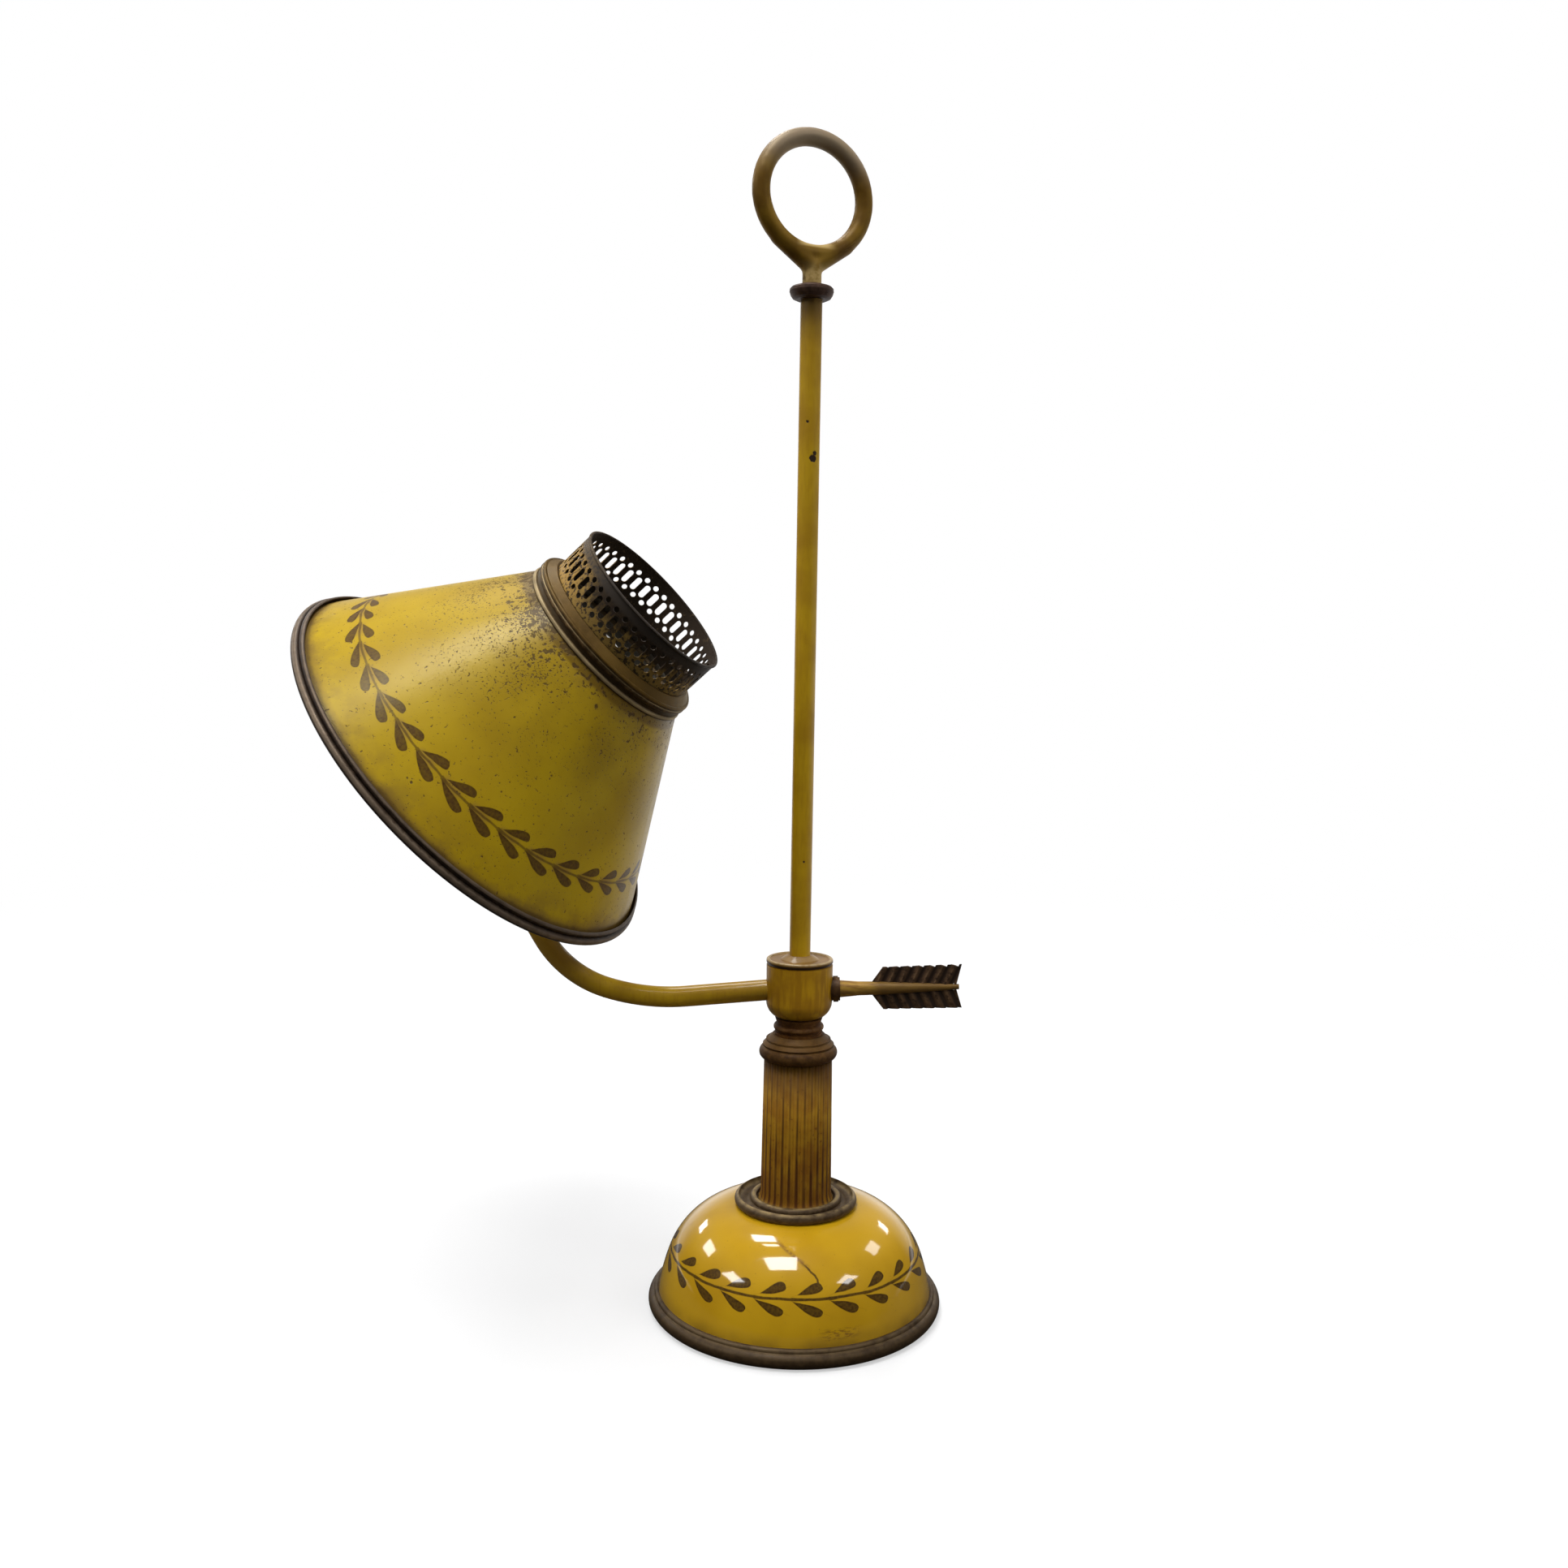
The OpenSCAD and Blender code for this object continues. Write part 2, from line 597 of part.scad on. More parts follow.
// Double rolled bead over the edge of the cone
module shade_rim() color(brass) at_head() rotate_extrude() difference() {
  union() {
    translate([mouth_r, mouth_z]) circle(1.9);
    translate([mouth_r - 1.2, mouth_z + 2.9]) circle(1.4);
  }
  cone_area();
  band(mouth_z, mouth_z + 10, 80, cone_foot_r - cone_sheet);
}

// Stepped moulding between cone and gallery
module shade_shoulder() color(brass) at_head() rotate_extrude() difference() {
  union() {
    translate([neck_r + 0.3, neck_z - 0.4]) circle(1.2);
    band(neck_z, neck_z + 3, neck_r - 2, neck_r + 0.4);
    for (z = [3.6, 5.4]) translate([neck_r + 0.3, neck_z + z]) circle(1.05);
    band(neck_z + 2, neck_z + 6.2, neck_r - 2, neck_r + 0.6);
    polygon([[gallery_r - gallery_sheet, neck_z + 5], [neck_r + 0.2, neck_z + 6.2],
      [gallery_r + 1, gallery_foot_z + 0.6], [gallery_r - gallery_sheet, gallery_foot_z + 0.6]]);
  }
  polygon([[0, neck_z - 5], [neck_r + 5 * cone_slope, neck_z - 5], [neck_r, neck_z],
    [neck_r - cone_sheet, neck_z], [neck_r - 1.4, neck_z + 5], [gallery_r - gallery_sheet, gallery_foot_z - 1],
    [gallery_r - gallery_sheet, gallery_foot_z], [gallery_r, gallery_foot_z], [gallery_r, gallery_foot_z + 3],
    [0, gallery_foot_z + 3]]);
}

slot_z = gallery_foot_z + 9.4;
slot_l = 4;
slot_w = 2.8;
dot_r = 1.25;
module piercing_at(a, z) rotate([0, 0, a]) translate([gallery_r - 2, 0, z]) rotate([0, 90, 0])
  linear_extrude(4) children();
module gallery_piercing() for (i = [0:slot_count - 1]) {
  piercing_at(i * 360 / slot_count, slot_z) union() {
    square([slot_l, slot_w], center = true);
    for (s = [-1, 1]) translate([s * slot_l / 2, 0]) circle(slot_w / 2, $fn = 24);
  }
  for (s = [-1, 1]) piercing_at((i + 0.5) * 360 / slot_count, slot_z + s * 4.7) circle(dot_r, $fn = 24);
}
module shade_gallery() color(brass) at_head() difference() {
  union() {
    translate([0, 0, gallery_foot_z]) ring(gallery_r, gallery_r - gallery_sheet, gallery_top_z - gallery_foot_z);
    rotate_extrude() translate([gallery_r - 0.1, gallery_top_z - 0.6]) circle(0.6);
  }
  gallery_piercing();
}

base_felt();
base_rim();
base_shell();
base_weight();
base_washer();
base_nut();
cord_bushing();
dome_collar();
column();
column_cap();
neck_spool();
center_pipe();
swivel_washer();
wave_washer();
hub_locknut();
column_lead();
hub_body();
hub_cap();
rod_nipple();
rod_nut();
stem_rod();
finial_collar();
ring_handle();
arm_tube();
arm_locknut();
arm_lead();
arm_ferrule();
arrow_collar();
arrow_shaft();
arrow_vanes();
knuckle_lower();
knuckle_screw();
knuckle_nut();
knuckle_upper();
socket_cap();
socket_shell();
socket_insulator();
socket_interior();
socket_screw_shell();
socket_contact();
turn_key();
bulb_base();
bulb_glass();
shade_ring();
shade_spider();
shade_cone();
shade_rim();
shade_shoulder();
shade_gallery();
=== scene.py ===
import json
from functools import reduce
from math import cos, radians, sin, tau

import bmesh
import bpy
from mathutils import Matrix, Vector


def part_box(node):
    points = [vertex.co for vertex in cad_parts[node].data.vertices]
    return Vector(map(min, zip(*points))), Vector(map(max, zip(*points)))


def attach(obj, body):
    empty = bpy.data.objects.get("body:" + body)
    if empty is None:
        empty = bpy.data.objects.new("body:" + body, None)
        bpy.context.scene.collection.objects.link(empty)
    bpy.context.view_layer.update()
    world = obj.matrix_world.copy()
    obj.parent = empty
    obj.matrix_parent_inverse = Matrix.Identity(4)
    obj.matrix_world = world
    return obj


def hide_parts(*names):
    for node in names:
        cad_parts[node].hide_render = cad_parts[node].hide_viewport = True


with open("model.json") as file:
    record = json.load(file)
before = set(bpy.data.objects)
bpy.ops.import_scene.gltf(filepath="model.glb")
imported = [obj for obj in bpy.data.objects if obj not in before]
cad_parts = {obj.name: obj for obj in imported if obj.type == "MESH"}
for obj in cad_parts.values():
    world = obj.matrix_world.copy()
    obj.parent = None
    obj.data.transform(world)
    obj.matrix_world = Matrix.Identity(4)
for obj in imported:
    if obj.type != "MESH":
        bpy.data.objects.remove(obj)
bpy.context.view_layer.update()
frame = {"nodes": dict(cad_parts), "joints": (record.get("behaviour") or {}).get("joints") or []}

print("frame loaded")

mm = 0.001  # settings are in millimetres, apart from those of the camera, floor and lights

# where the shade's own axis stands, so that its paint can turn with it
headPlace = {"joint": "shade_tilt", "armLean": -30, "pan": -11.4, "bend": 77.6}
headPivot = next(tuple(joint["pos_m"]) for joint in frame["joints"] if joint["name"] == headPlace["joint"])
headTurn = (
    Matrix.Rotation(radians(headPlace["armLean"]), 3, "Y")
    @ Matrix.Rotation(radians(headPlace["pan"]), 3, "Z")
    @ Matrix.Rotation(radians(headPlace["bend"]), 3, "Y")
)
headFrame = {"centre": headPivot, "turn": tuple(headTurn.to_euler("XYZ"))}


# camera
cameraSetup = {"place": (-0.008529, -0.641294, 0.303596), "pitch": 5.475, "roll": 0.948, "lens": 32.82,
               "sensor": 36, "near": 0.01}


def addCamera(s):
    camera = bpy.data.objects.new("camera", bpy.data.cameras.new("camera"))
    bpy.context.scene.collection.objects.link(camera)
    camera.data.sensor_width, camera.data.lens = s["sensor"], s["lens"]
    camera.data.clip_start = s["near"]
    down, roll = radians(s["pitch"]), radians(s["roll"])
    ahead = Vector((0, cos(down), -sin(down)))
    up = Vector((0, sin(down), cos(down)))
    right = Vector((1, 0, 0))
    across, upward = right * cos(roll) + up * sin(roll), up * cos(roll) - right * sin(roll)
    axes = Matrix((across, upward, -ahead)).transposed()
    camera.matrix_world = Matrix.Translation(s["place"]) @ axes.to_4x4()
    bpy.context.scene.camera = camera


addCamera(cameraSetup)
print("camera placed")


# shader workshop
class Wire:
    # a socket on which sums can be written
    def __init__(self, shop, socket):
        self.shop = shop
        self.socket = socket

    def calc(self, operation, *others, clamp=False):
        settings = {"operation": operation, "use_clamp": clamp}
        return self.shop.node("ShaderNodeMath", settings, [self, *others])

    def __add__(self, other):
        return self.calc("ADD", other)

    __radd__ = __add__

    def __sub__(self, other):
        return self.calc("SUBTRACT", other)

    def __rsub__(self, other):
        return self.shop.node("ShaderNodeMath", {"operation": "SUBTRACT"}, [other, self])

    def __mul__(self, other):
        return self.calc("MULTIPLY", other)

    __rmul__ = __mul__

    def __truediv__(self, other):
        return self.calc("DIVIDE", other)

    def __pow__(self, other):
        return self.calc("POWER", other)

    def __abs__(self):
        return self.calc("ABSOLUTE")

    def clamped(self):
        return self.calc("ADD", 0, clamp=True)

    def ramp(self, low, high):
        # 0 at low, 1 at high, eased
        return self.shop.node("ShaderNodeMapRange", {"interpolation_type": "SMOOTHSTEP"}, [self, low, high])

    def twin(self, name):
        return Wire(self.shop, self.socket.node.outputs[name])


class Shop:
    # one material, or the world, and the nodes in it
    def __init__(self, name, kind=bpy.data.materials):
        self.made = kind.new(name)
        self.made.use_nodes = True
        self.tree = self.made.node_tree
        self.tree.nodes.clear()

    def node(self, kind, settings=None, inputs=(), output=0):
        made = self.tree.nodes.new(kind)
        for key, value in (settings or {}).items():
            if key == "stops":
                for stop, (place, colour) in zip(made.color_ramp.elements, value):
                    stop.position, stop.color = place, (*colour, 1)
            else:
                setattr(made, key, value)
        pairs = inputs.items() if isinstance(inputs, dict) else enumerate(inputs)
        for key, value in pairs:
            socket = made.inputs[key]
            if isinstance(value, Wire):
                self.tree.links.new(value.socket, socket)
            elif socket.type == "RGBA":
                socket.default_value = (*value, 1)
            else:
                socket.default_value = value
        return Wire(self, made.outputs[output])

    def spot(self, centre=(0, 0, 0), turn=(0, 0, 0), scale=mm):
        # object coordinates about a centre, in millimetres
        here = self.node("ShaderNodeTexCoord", output="Object")
        return self.node(
            "ShaderNodeMapping", {"vector_type": "TEXTURE"}, [here, centre, turn, (scale, scale, scale)]
        )

    def stretch(self, vector, factors):
        return self.node("ShaderNodeVectorMath", {"operation": "MULTIPLY"}, [vector, factors])

    def split(self, vector):
        x = self.node("ShaderNodeSeparateXYZ", inputs=[vector])
        return x, x.twin("Y"), x.twin("Z")

    def noise(self, vector, scale, detail=2.0, rough=0.5):
        sockets = {"Vector": vector, "Scale": scale, "Detail": detail, "Roughness": rough}
        return self.node("ShaderNodeTexNoise", None, sockets)

    def mix(self, factor, first, second):
        return self.node("ShaderNodeMix", {"data_type": "RGBA"}, {0: factor, 6: first, 7: second}, 2)

    def done(self, colour, rough, metal=0.0, height=None, depth=0.1, coat=0.0, coatRough=0.08, coatIor=1.5,
             specular=0.5, tint=(1, 1, 1)):
        sockets = {"Base Color": colour, "Roughness": rough, "Metallic": metal, "Coat Weight": coat,
                   "Coat Roughness": coatRough, "Coat IOR": coatIor, "Specular IOR Level": specular,
                   "Specular Tint": tint}
        if height is not None:
            bump = {"Height": height, "Distance": depth * mm}
            sockets["Normal"] = self.node("ShaderNodeBump", None, bump)
        return self.out(self.node("ShaderNodeBsdfPrincipled", None, sockets))

    def out(self, shader, end="ShaderNodeOutputMaterial"):
        self.tree.links.new(shader.socket, self.tree.nodes.new(end).inputs["Surface"])
        return self.made


def radiusOf(x, y):
    return (x * x + y * y).calc("SQRT")


def angleOf(x, y):
    return y.calc("ARCTAN2", x)


# painted garland
def leafDepth(along, across, s, wobble):
    # how far inside a slender leaf's outline, in millimetres
    lean = radians(s["lean"])
    ahead, out = along - s["start"], across - s["gap"]
    length = s["length"] * (0.93 + 0.14 * wobble)  # no two leaves are quite as long
    run = ((ahead * cos(lean) + out * sin(lean)) / length).clamped()
    side = out * cos(lean) - ahead * sin(lean)
    peak = s["swell"] / (s["swell"] + s["tip"])
    full = peak ** s["swell"] * (1 - peak) ** s["tip"]
    half = (run ** s["swell"]) * ((1 - run) ** s["tip"]) * (s["half"] / full)
    return half - abs(side - half * s["belly"])


def garlandTurns(angle, s):
    # leaves counted round the axis, and the way along each in millimetres
    turns = angle * (s["count"] / tau) + s["phase"]
    return turns, turns.calc("FRACT") * s["pitch"]


def garlandMasks(shop, angle, climb, s):
    # where the leaves and stem are painted, and the paler middles of the leaves
    turns, along = garlandTurns(angle, s)
    wobble = shop.node("ShaderNodeTexWhiteNoise", {"noise_dimensions": "1D"}, {"W": turns.calc("FLOOR")})
    above = leafDepth(along, climb, s["above"], wobble)
    below = leafDepth(along, climb * -1, s["below"], wobble)
    depth = above.calc("MAXIMUM", below)
    stem = s["stem"] - abs(climb) + along.ramp(s["pitch"] * 0.35, 0) * s["joint"]
    paint = depth.ramp(-0.15, 0.25).calc("MAXIMUM", stem.ramp(-0.2, 0.25) * s["stemStrength"])
    return paint, depth.ramp(0.4, 1.2)


def garlandWash(angle, climb, s):
    # a thin brown wash that fades along each stretch of the stem
    along = garlandTurns(angle, s)[1]
    return abs(climb).ramp(3.2, 0.4) * along.ramp(0, 2.5) * along.ramp(s["pitch"] * 0.85, s["pitch"] * 0.5)


# finishes
domePaint = {
    "gold": (0.56, 0.32, 0.006), "deep": (0.36, 0.18, 0.003), "brown": (0.05, 0.022, 0.004),
    "leaf": (0.028, 0.01, 0.002), "core": (0.055, 0.025, 0.005), "scorch": (0.2, 0.085, 0.01),
    "garland": {
        "count": 22, "phase": 0.62, "pitch": 16.4, "stem": 0.58, "joint": 0.12, "stemStrength": 0.95,
        "above": {"start": 2.4, "gap": 1.6, "length": 12, "half": 2.0, "lean": 13.5, "belly": 0.35,
                  "swell": 1.15, "tip": 0.42},
        "below": {"start": 0.2, "gap": 0.7, "length": 14, "half": 2.1, "lean": 21, "belly": 0.25,
                  "swell": 1.2, "tip": 0.42},
    },
    "stemHeight": 27.4, "climbFactor": 1.08, "footGrime": (15, 7),
    "crack": {"bottom": 32.5, "top": 45.5, "foot": -1.38, "sweep": 0.12, "curl": 0.33, "width": 0.4,
              "smear": 2.4},
    "scuff": {"middle": -1.25, "height": 13.4, "width": 11.5, "tall": 3, "colour": (0.13, 0.05, 0.006)},
}


def domeEnamel(s):
    shop = Shop("dome enamel")
    spot = shop.spot()
    x, y, z = shop.split(spot)
    radius, angle = radiusOf(x, y), angleOf(x, y)
    climb = (z - s["stemHeight"]) * s["climbFactor"] + (shop.noise(spot, 0.09) - 0.5) * 1.2
    paint, core = garlandMasks(shop, angle, climb, s["garland"])
    cloud = shop.noise(spot, 0.035, 3)
    colour = shop.mix(cloud.ramp(0.35, 0.75) * 0.4, s["gold"], s["deep"])
    foot = z.ramp(*s["footGrime"]) * (0.35 + 0.65 * shop.noise(spot, 0.09, 2).ramp(0.3, 0.7))
    colour = shop.mix(foot * 0.55, colour, s["brown"])
    grain = shop.noise(spot, 0.9, 3).ramp(0.35, 0.7)
    colour = shop.mix(paint * (0.86 + 0.1 * grain), colour, shop.mix(core * 0.7, s["leaf"], s["core"]))
    crack = s["crack"]
    rise = (z - crack["bottom"]) / (crack["top"] - crack["bottom"])
    path = crack["foot"] - rise * crack["sweep"] - (rise ** 2.5) * crack["curl"]
    jitter = (shop.noise(spot, 0.5, 2) - 0.5) * 1.6
    off = abs((angle - path) * radius + jitter)
    line = off.ramp(crack["width"] + 0.3, crack["width"] - 0.1) * rise.ramp(0, 0.06) * rise.ramp(0.6, 0.4)
    smear = off.ramp(crack["smear"], 0.2) * rise.ramp(0.3, 0.55) * rise.ramp(1.05, 0.85)
    colour = shop.mix(smear * shop.noise(spot, 0.8, 3).ramp(0.25, 0.55) * 0.75, colour, s["scorch"])
    colour = shop.mix(line * 0.85, colour, s["brown"])
    scuff = s["scuff"]
    patch = abs((angle - scuff["middle"]) * radius).ramp(scuff["width"], scuff["width"] * 0.4)
    patch = patch * abs(z - scuff["height"]).ramp(scuff["tall"], scuff["tall"] * 0.3)
    rub = shop.noise(shop.stretch(spot, (0.4, 0.4, 1.2)), 1.0, 4, 0.65).ramp(0.45, 0.6) * patch
    colour = shop.mix(rub * 0.65, colour, scuff["colour"])
    specks = shop.noise(spot, 1.1, 2).ramp(0.74, 0.77)
    colour = shop.mix(specks * 0.75, colour, s["brown"])
    height = shop.noise(spot, 0.05, 2) * 0.6 + paint * 0.08 - line * 0.5
    rough = 0.34 + 0.14 * shop.noise(spot, 0.25, 4) + rub * 0.2
    return shop.done(colour, rough, height=height, depth=0.25, coat=1.0, coatRough=0.075, coatIor=1.62,
                     specular=0.1)


shadePaint = {
    "gold": (0.53, 0.347, 0.006), "deep": (0.34, 0.197, 0.004), "brown": (0.075, 0.036, 0.010),
    "leaf": (0.062, 0.024, 0.005), "core": (0.095, 0.042, 0.012), "grime": (0.2, 0.115, 0.022),
    "wash": (0.27, 0.15, 0.035), "speck": (0.06, 0.026, 0.005), "skirtShade": (0.17, 0.095, 0.006),
    "midDarkening": (0.2, 0.115, 0.003),
    "inside": (0.5, 0.46, 0.37), "sootAndShade": (0.04, 0.03, 0.022),
    "garland": {
        "count": 35, "phase": 0.45, "pitch": 14.87, "stem": 0.5, "joint": 0.35, "stemStrength": 0.75,
        "above": {"start": 2, "gap": 1, "length": 12.6, "half": 1.95, "lean": 12.5, "belly": 0.4,
                  "swell": 1.05, "tip": 0.38},
        "below": {"start": -0.2, "gap": 0.2, "length": 14.6, "half": 2.05, "lean": 15.5, "belly": 0.35,
                  "swell": 1.15, "tip": 0.38},
    },
    "stemHeight": 36, "climbFactor": 1.195, "mouthZ": 14.7, "mouthR": 96.8, "slope": 0.65394,
    # where each mark starts and where it is full, up the cone or, for a side, across it
    "bands": {
        "midDarkening": (38, 80), "midDarkeningSide": (-10, -55), "footGrime": (34, 15), "lipGrime": (19.8, 17),
        "lipBrown": (18.6, 16.8), "neckGrime": (84, 97), "skirtShade": (93, 94.5), "specks": (30, 97),
        "specksSide": (35, -35), "blots": (76, 97), "blotsSide": (30, -20), "sootAndShade": (66, 92),
    },
}


def shadeEnamel(s):
    shop = Shop("shade enamel")
    spot = shop.spot(**headFrame)
    x, y, z = shop.split(spot)
    radius, angle = radiusOf(x, y), angleOf(x, y)
    bands = s["bands"]
    climb = (z - s["stemHeight"]) * s["climbFactor"] + (shop.noise(spot, 0.08) - 0.5) * 1.6
    paint, core = garlandMasks(shop, angle, climb, s["garland"])
    cloud = shop.noise(spot, 0.03, 3)
    colour = shop.mix(cloud.ramp(0.35, 0.75) * 0.45, s["gold"], s["deep"])
    grime = shop.noise(spot, 0.07, 5, 0.65)
    patches = shop.noise(spot, 0.055, 3).ramp(0.3, 0.65)
    # darker up the middle of the cone, less so on its left side
    dulled = z.ramp(*bands["midDarkening"]) * (0.24 + 0.25 * patches) * (1 - 0.7 * x.ramp(*bands["midDarkeningSide"]))
    colour = shop.mix(dulled, colour, s["midDarkening"])
    colour = shop.mix(z.ramp(*bands["footGrime"]) * grime.ramp(0.4, 0.65) * 0.6, colour, s["grime"])
    colour = shop.mix((z - grime * 4).ramp(*bands["lipGrime"]) * 0.5, colour, s["grime"])
    colour = shop.mix((z - grime * 2).ramp(*bands["lipBrown"]) * 0.75, colour, s["brown"])
    colour = shop.mix(z.ramp(*bands["neckGrime"]) * grime.ramp(0.35, 0.6) * 0.6, colour, s["grime"])
    # painted shade: a darker band at the foot of the shoulder, where the steeper skirt takes no highlight
    colour = shop.mix(z.ramp(*bands["skirtShade"]) * 0.9, colour, s["skirtShade"])
    colour = shop.mix(garlandWash(angle, climb, s["garland"]) * 0.6, colour, s["wash"])
    grain = shop.noise(spot, 0.9, 3).ramp(0.35, 0.7)
    colour = shop.mix(paint * (0.84 + 0.14 * grain), colour, shop.mix(core * 0.6, s["leaf"], s["core"]))
    crowd = (z.ramp(*bands["specks"]) ** 1.8) * (0.4 + 0.6 * x.ramp(*bands["specksSide"]))
    pepper = (shop.noise(spot, 1.25, 2) + crowd * (0.04 + 0.14 * patches)).ramp(0.67, 0.74)
    dots = (shop.noise(spot, 0.65, 2) + crowd * 0.15 * patches).ramp(0.69, 0.75)
    thick = z.ramp(*bands["blots"]) * (0.1 + 0.08 * x.ramp(*bands["blotsSide"]))
    blots = (shop.noise(spot, 0.45, 3) + thick).ramp(0.68, 0.74)
    dashes = shop.noise(shop.stretch(spot, (0.3, 1, 1.6)), 0.55, 2).ramp(0.74, 0.77) * 0.6
    marks = pepper.calc("MAXIMUM", dots).calc("MAXIMUM", blots).calc("MAXIMUM", dashes)
    colour = shop.mix(marks * 0.85, colour, s["speck"])
    skin = s["mouthR"] - (z - s["mouthZ"]) * s["slope"]
    # inside, the pale lining darkens towards the neck: partly soot, partly painted shade in the unlit top
    # of the shade
    lining = shop.mix(z.ramp(*bands["sootAndShade"]) * (0.8 + 0.2 * cloud), s["inside"], s["sootAndShade"])
    colour = shop.mix((skin - radius).ramp(0.25, 0.5), colour, lining)
    rough = 0.3 + 0.12 * shop.noise(spot, 0.2, 4) + marks * 0.25
    height = shop.noise(spot, 0.04, 2) - marks * 0.3
    return shop.done(colour, rough, height=height, depth=0.25, coat=0.1, coatRough=0.2, specular=0.42,
                     tint=(1, 0.92, 0.55))


tubePaint = {
    "gold": (0.56, 0.335, 0.006), "deep": (0.38, 0.195, 0.004), "brown": (0.03, 0.014, 0.005),
    "smoke": (0.09, 0.045, 0.018), "smokeFrom": 430, "smokeTo": 454, "shadeAndHubBrown": (0.2, 0.095, 0.012),
    "chips": [((1.8, -4.4, 386), 1.5), ((2.6, -4, 388.2), 0.9), ((-0.9, -4.7, 401.7), 0.45),
              ((1.1, -4.6, 207.5), 0.4)],
    # painted shade darkens the arm round its elbow, under the shade's rim, and the arm is darker brown at
    # its hub end
    "elbow": {"over": (137, 150), "under": (190, 160), "side": (-84, -104)},
    "hubEnd": {"from": (-45, -16), "to": (-7, -12)},
}


def tubeEnamel(s):
    shop = Shop("tube enamel")
    spot = shop.spot()
    x, _, z = shop.split(spot)
    cloud = shop.noise(spot, 0.045, 4)
    colour = shop.mix(cloud.ramp(0.35, 0.72) * 0.75, s["gold"], s["deep"])
    streak = shop.noise(shop.stretch(spot, (1, 1, 0.12)), 0.9, 3)
    colour = shop.mix(streak.ramp(0.45, 0.75) * 0.4, colour, s["deep"])
    colour = shop.mix(z.ramp(s["smokeFrom"], s["smokeTo"]) * 0.75, colour, s["smoke"])
    elbow, hubEnd = s["elbow"], s["hubEnd"]
    # painted shade at the elbow, where the shade's rim hangs over the arm
    bend = z.ramp(*elbow["over"]) * z.ramp(*elbow["under"]) * x.ramp(*elbow["side"])
    root = x.ramp(*hubEnd["from"]) * x.ramp(*hubEnd["to"]) * 0.8
    colour = shop.mix(bend.calc("MAXIMUM", root) * 0.5, colour, s["shadeAndHubBrown"])
    chip = shop.noise(spot, 0.6, 3).ramp(0.775, 0.79)
    ragged = (shop.noise(spot, 1.2, 2) - 0.5) * 1.2
    for place, size in s["chips"]:
        gap = shop.node("ShaderNodeVectorMath", {"operation": "DISTANCE"}, [spot, place], 1)
        chip = chip.calc("MAXIMUM", (gap + ragged).ramp(size + 0.3, size - 0.1))
    colour = shop.mix(chip, colour, s["brown"])
    rough = 0.36 + 0.2 * cloud + chip * 0.3
    return shop.done(colour, rough, height=cloud - chip * 0.6, depth=0.15, coat=0.3, coatRough=0.1,
                     specular=0.25)


hubPaint = {"gold": (0.55, 0.292, 0.006), "deep": (0.34, 0.155, 0.003), "brown": (0.03, 0.014, 0.005),
            "lid": (0.15, 0.08, 0.025), "pale": (0.46, 0.34, 0.18),
            "foot": 136.05, "seam": 160.7, "rim": 162.6, "edge": (13, 13.8), "bossR": 7.2}


def hubEnamel(s):
    shop = Shop("hub enamel")
    spot = shop.spot()
    x, y, z = shop.split(spot)
    radius = radiusOf(x, y)
    edge = radius.ramp(*s["edge"])
    cloud = shop.noise(spot, 0.09, 4)
    colour = shop.mix(cloud.ramp(0.32, 0.68) * 0.7, s["gold"], s["deep"])
    streak = shop.noise(shop.stretch(spot, (1, 1, 0.12)), 0.45, 3)
    colour = shop.mix(streak.ramp(0.42, 0.62) * 0.7, colour, s["deep"])
    colour = shop.mix(z.ramp(s["seam"], s["seam"] + 0.5) * 0.75, colour, s["lid"])
    seam = abs(z - s["seam"]).ramp(1, 0.5) * edge
    # painted highlight: the lid's rim is paler; the faint pale ring round the boss is partly its tan and
    # partly painted highlight
    rim = edge * z.ramp(s["rim"] - 1, s["rim"] - 0.2)
    colour = shop.mix(rim * (0.5 + 0.5 * streak.ramp(0.3, 0.55)) * 0.85, colour, s["pale"])
    boss = abs(radius - s["bossR"]).ramp(2.2, 0.8) * z.ramp(s["rim"] - 0.5, s["rim"])
    colour = shop.mix(boss * 0.25, colour, s["pale"])
    colour = shop.mix(seam * 0.95, colour, s["brown"])
    # painted shadow at the hub's foot, where it sits on the spool
    colour = shop.mix(z.ramp(s["foot"] + 1.5, s["foot"]) * 0.4, colour, s["brown"])
    rough = 0.36 + 0.2 * cloud
    return shop.done(colour, rough, height=cloud, depth=0.12, coat=0.25, coatRough=0.15, specular=0.25)


arrowTones = {"gold": (0.42, 0.24, 0.035), "deep": (0.24, 0.12, 0.02), "brown": (0.13, 0.07, 0.018),
              "from": 27, "to": 40}


def arrowGold(s):
    shop = Shop("arrow shaft gold")
    spot = shop.spot()
    x = shop.split(spot)[0]
    streak = shop.noise(shop.stretch(spot, (0.2, 1, 1)), 0.7, 4)
    colour = shop.mix(streak.ramp(0.35, 0.7), s["gold"], s["deep"])
    colour = shop.mix(x.ramp(s["from"], s["to"]) * 0.75, colour, s["brown"])
    return shop.done(colour, 0.36 + 0.2 * streak, metal=0.15, height=streak, depth=0.08, specular=0.3)


vaneTones = {"dark": (0.028, 0.014, 0.007), "mid": (0.105, 0.056, 0.026), "pale": (0.2, 0.118, 0.058),
             "z": 147.95, "climb": 0.0349, "foot": 32, "pitch": 5.3, "lean": 0.45, "root": 1.1,
             "crestHighlight": (9.5, 5)}


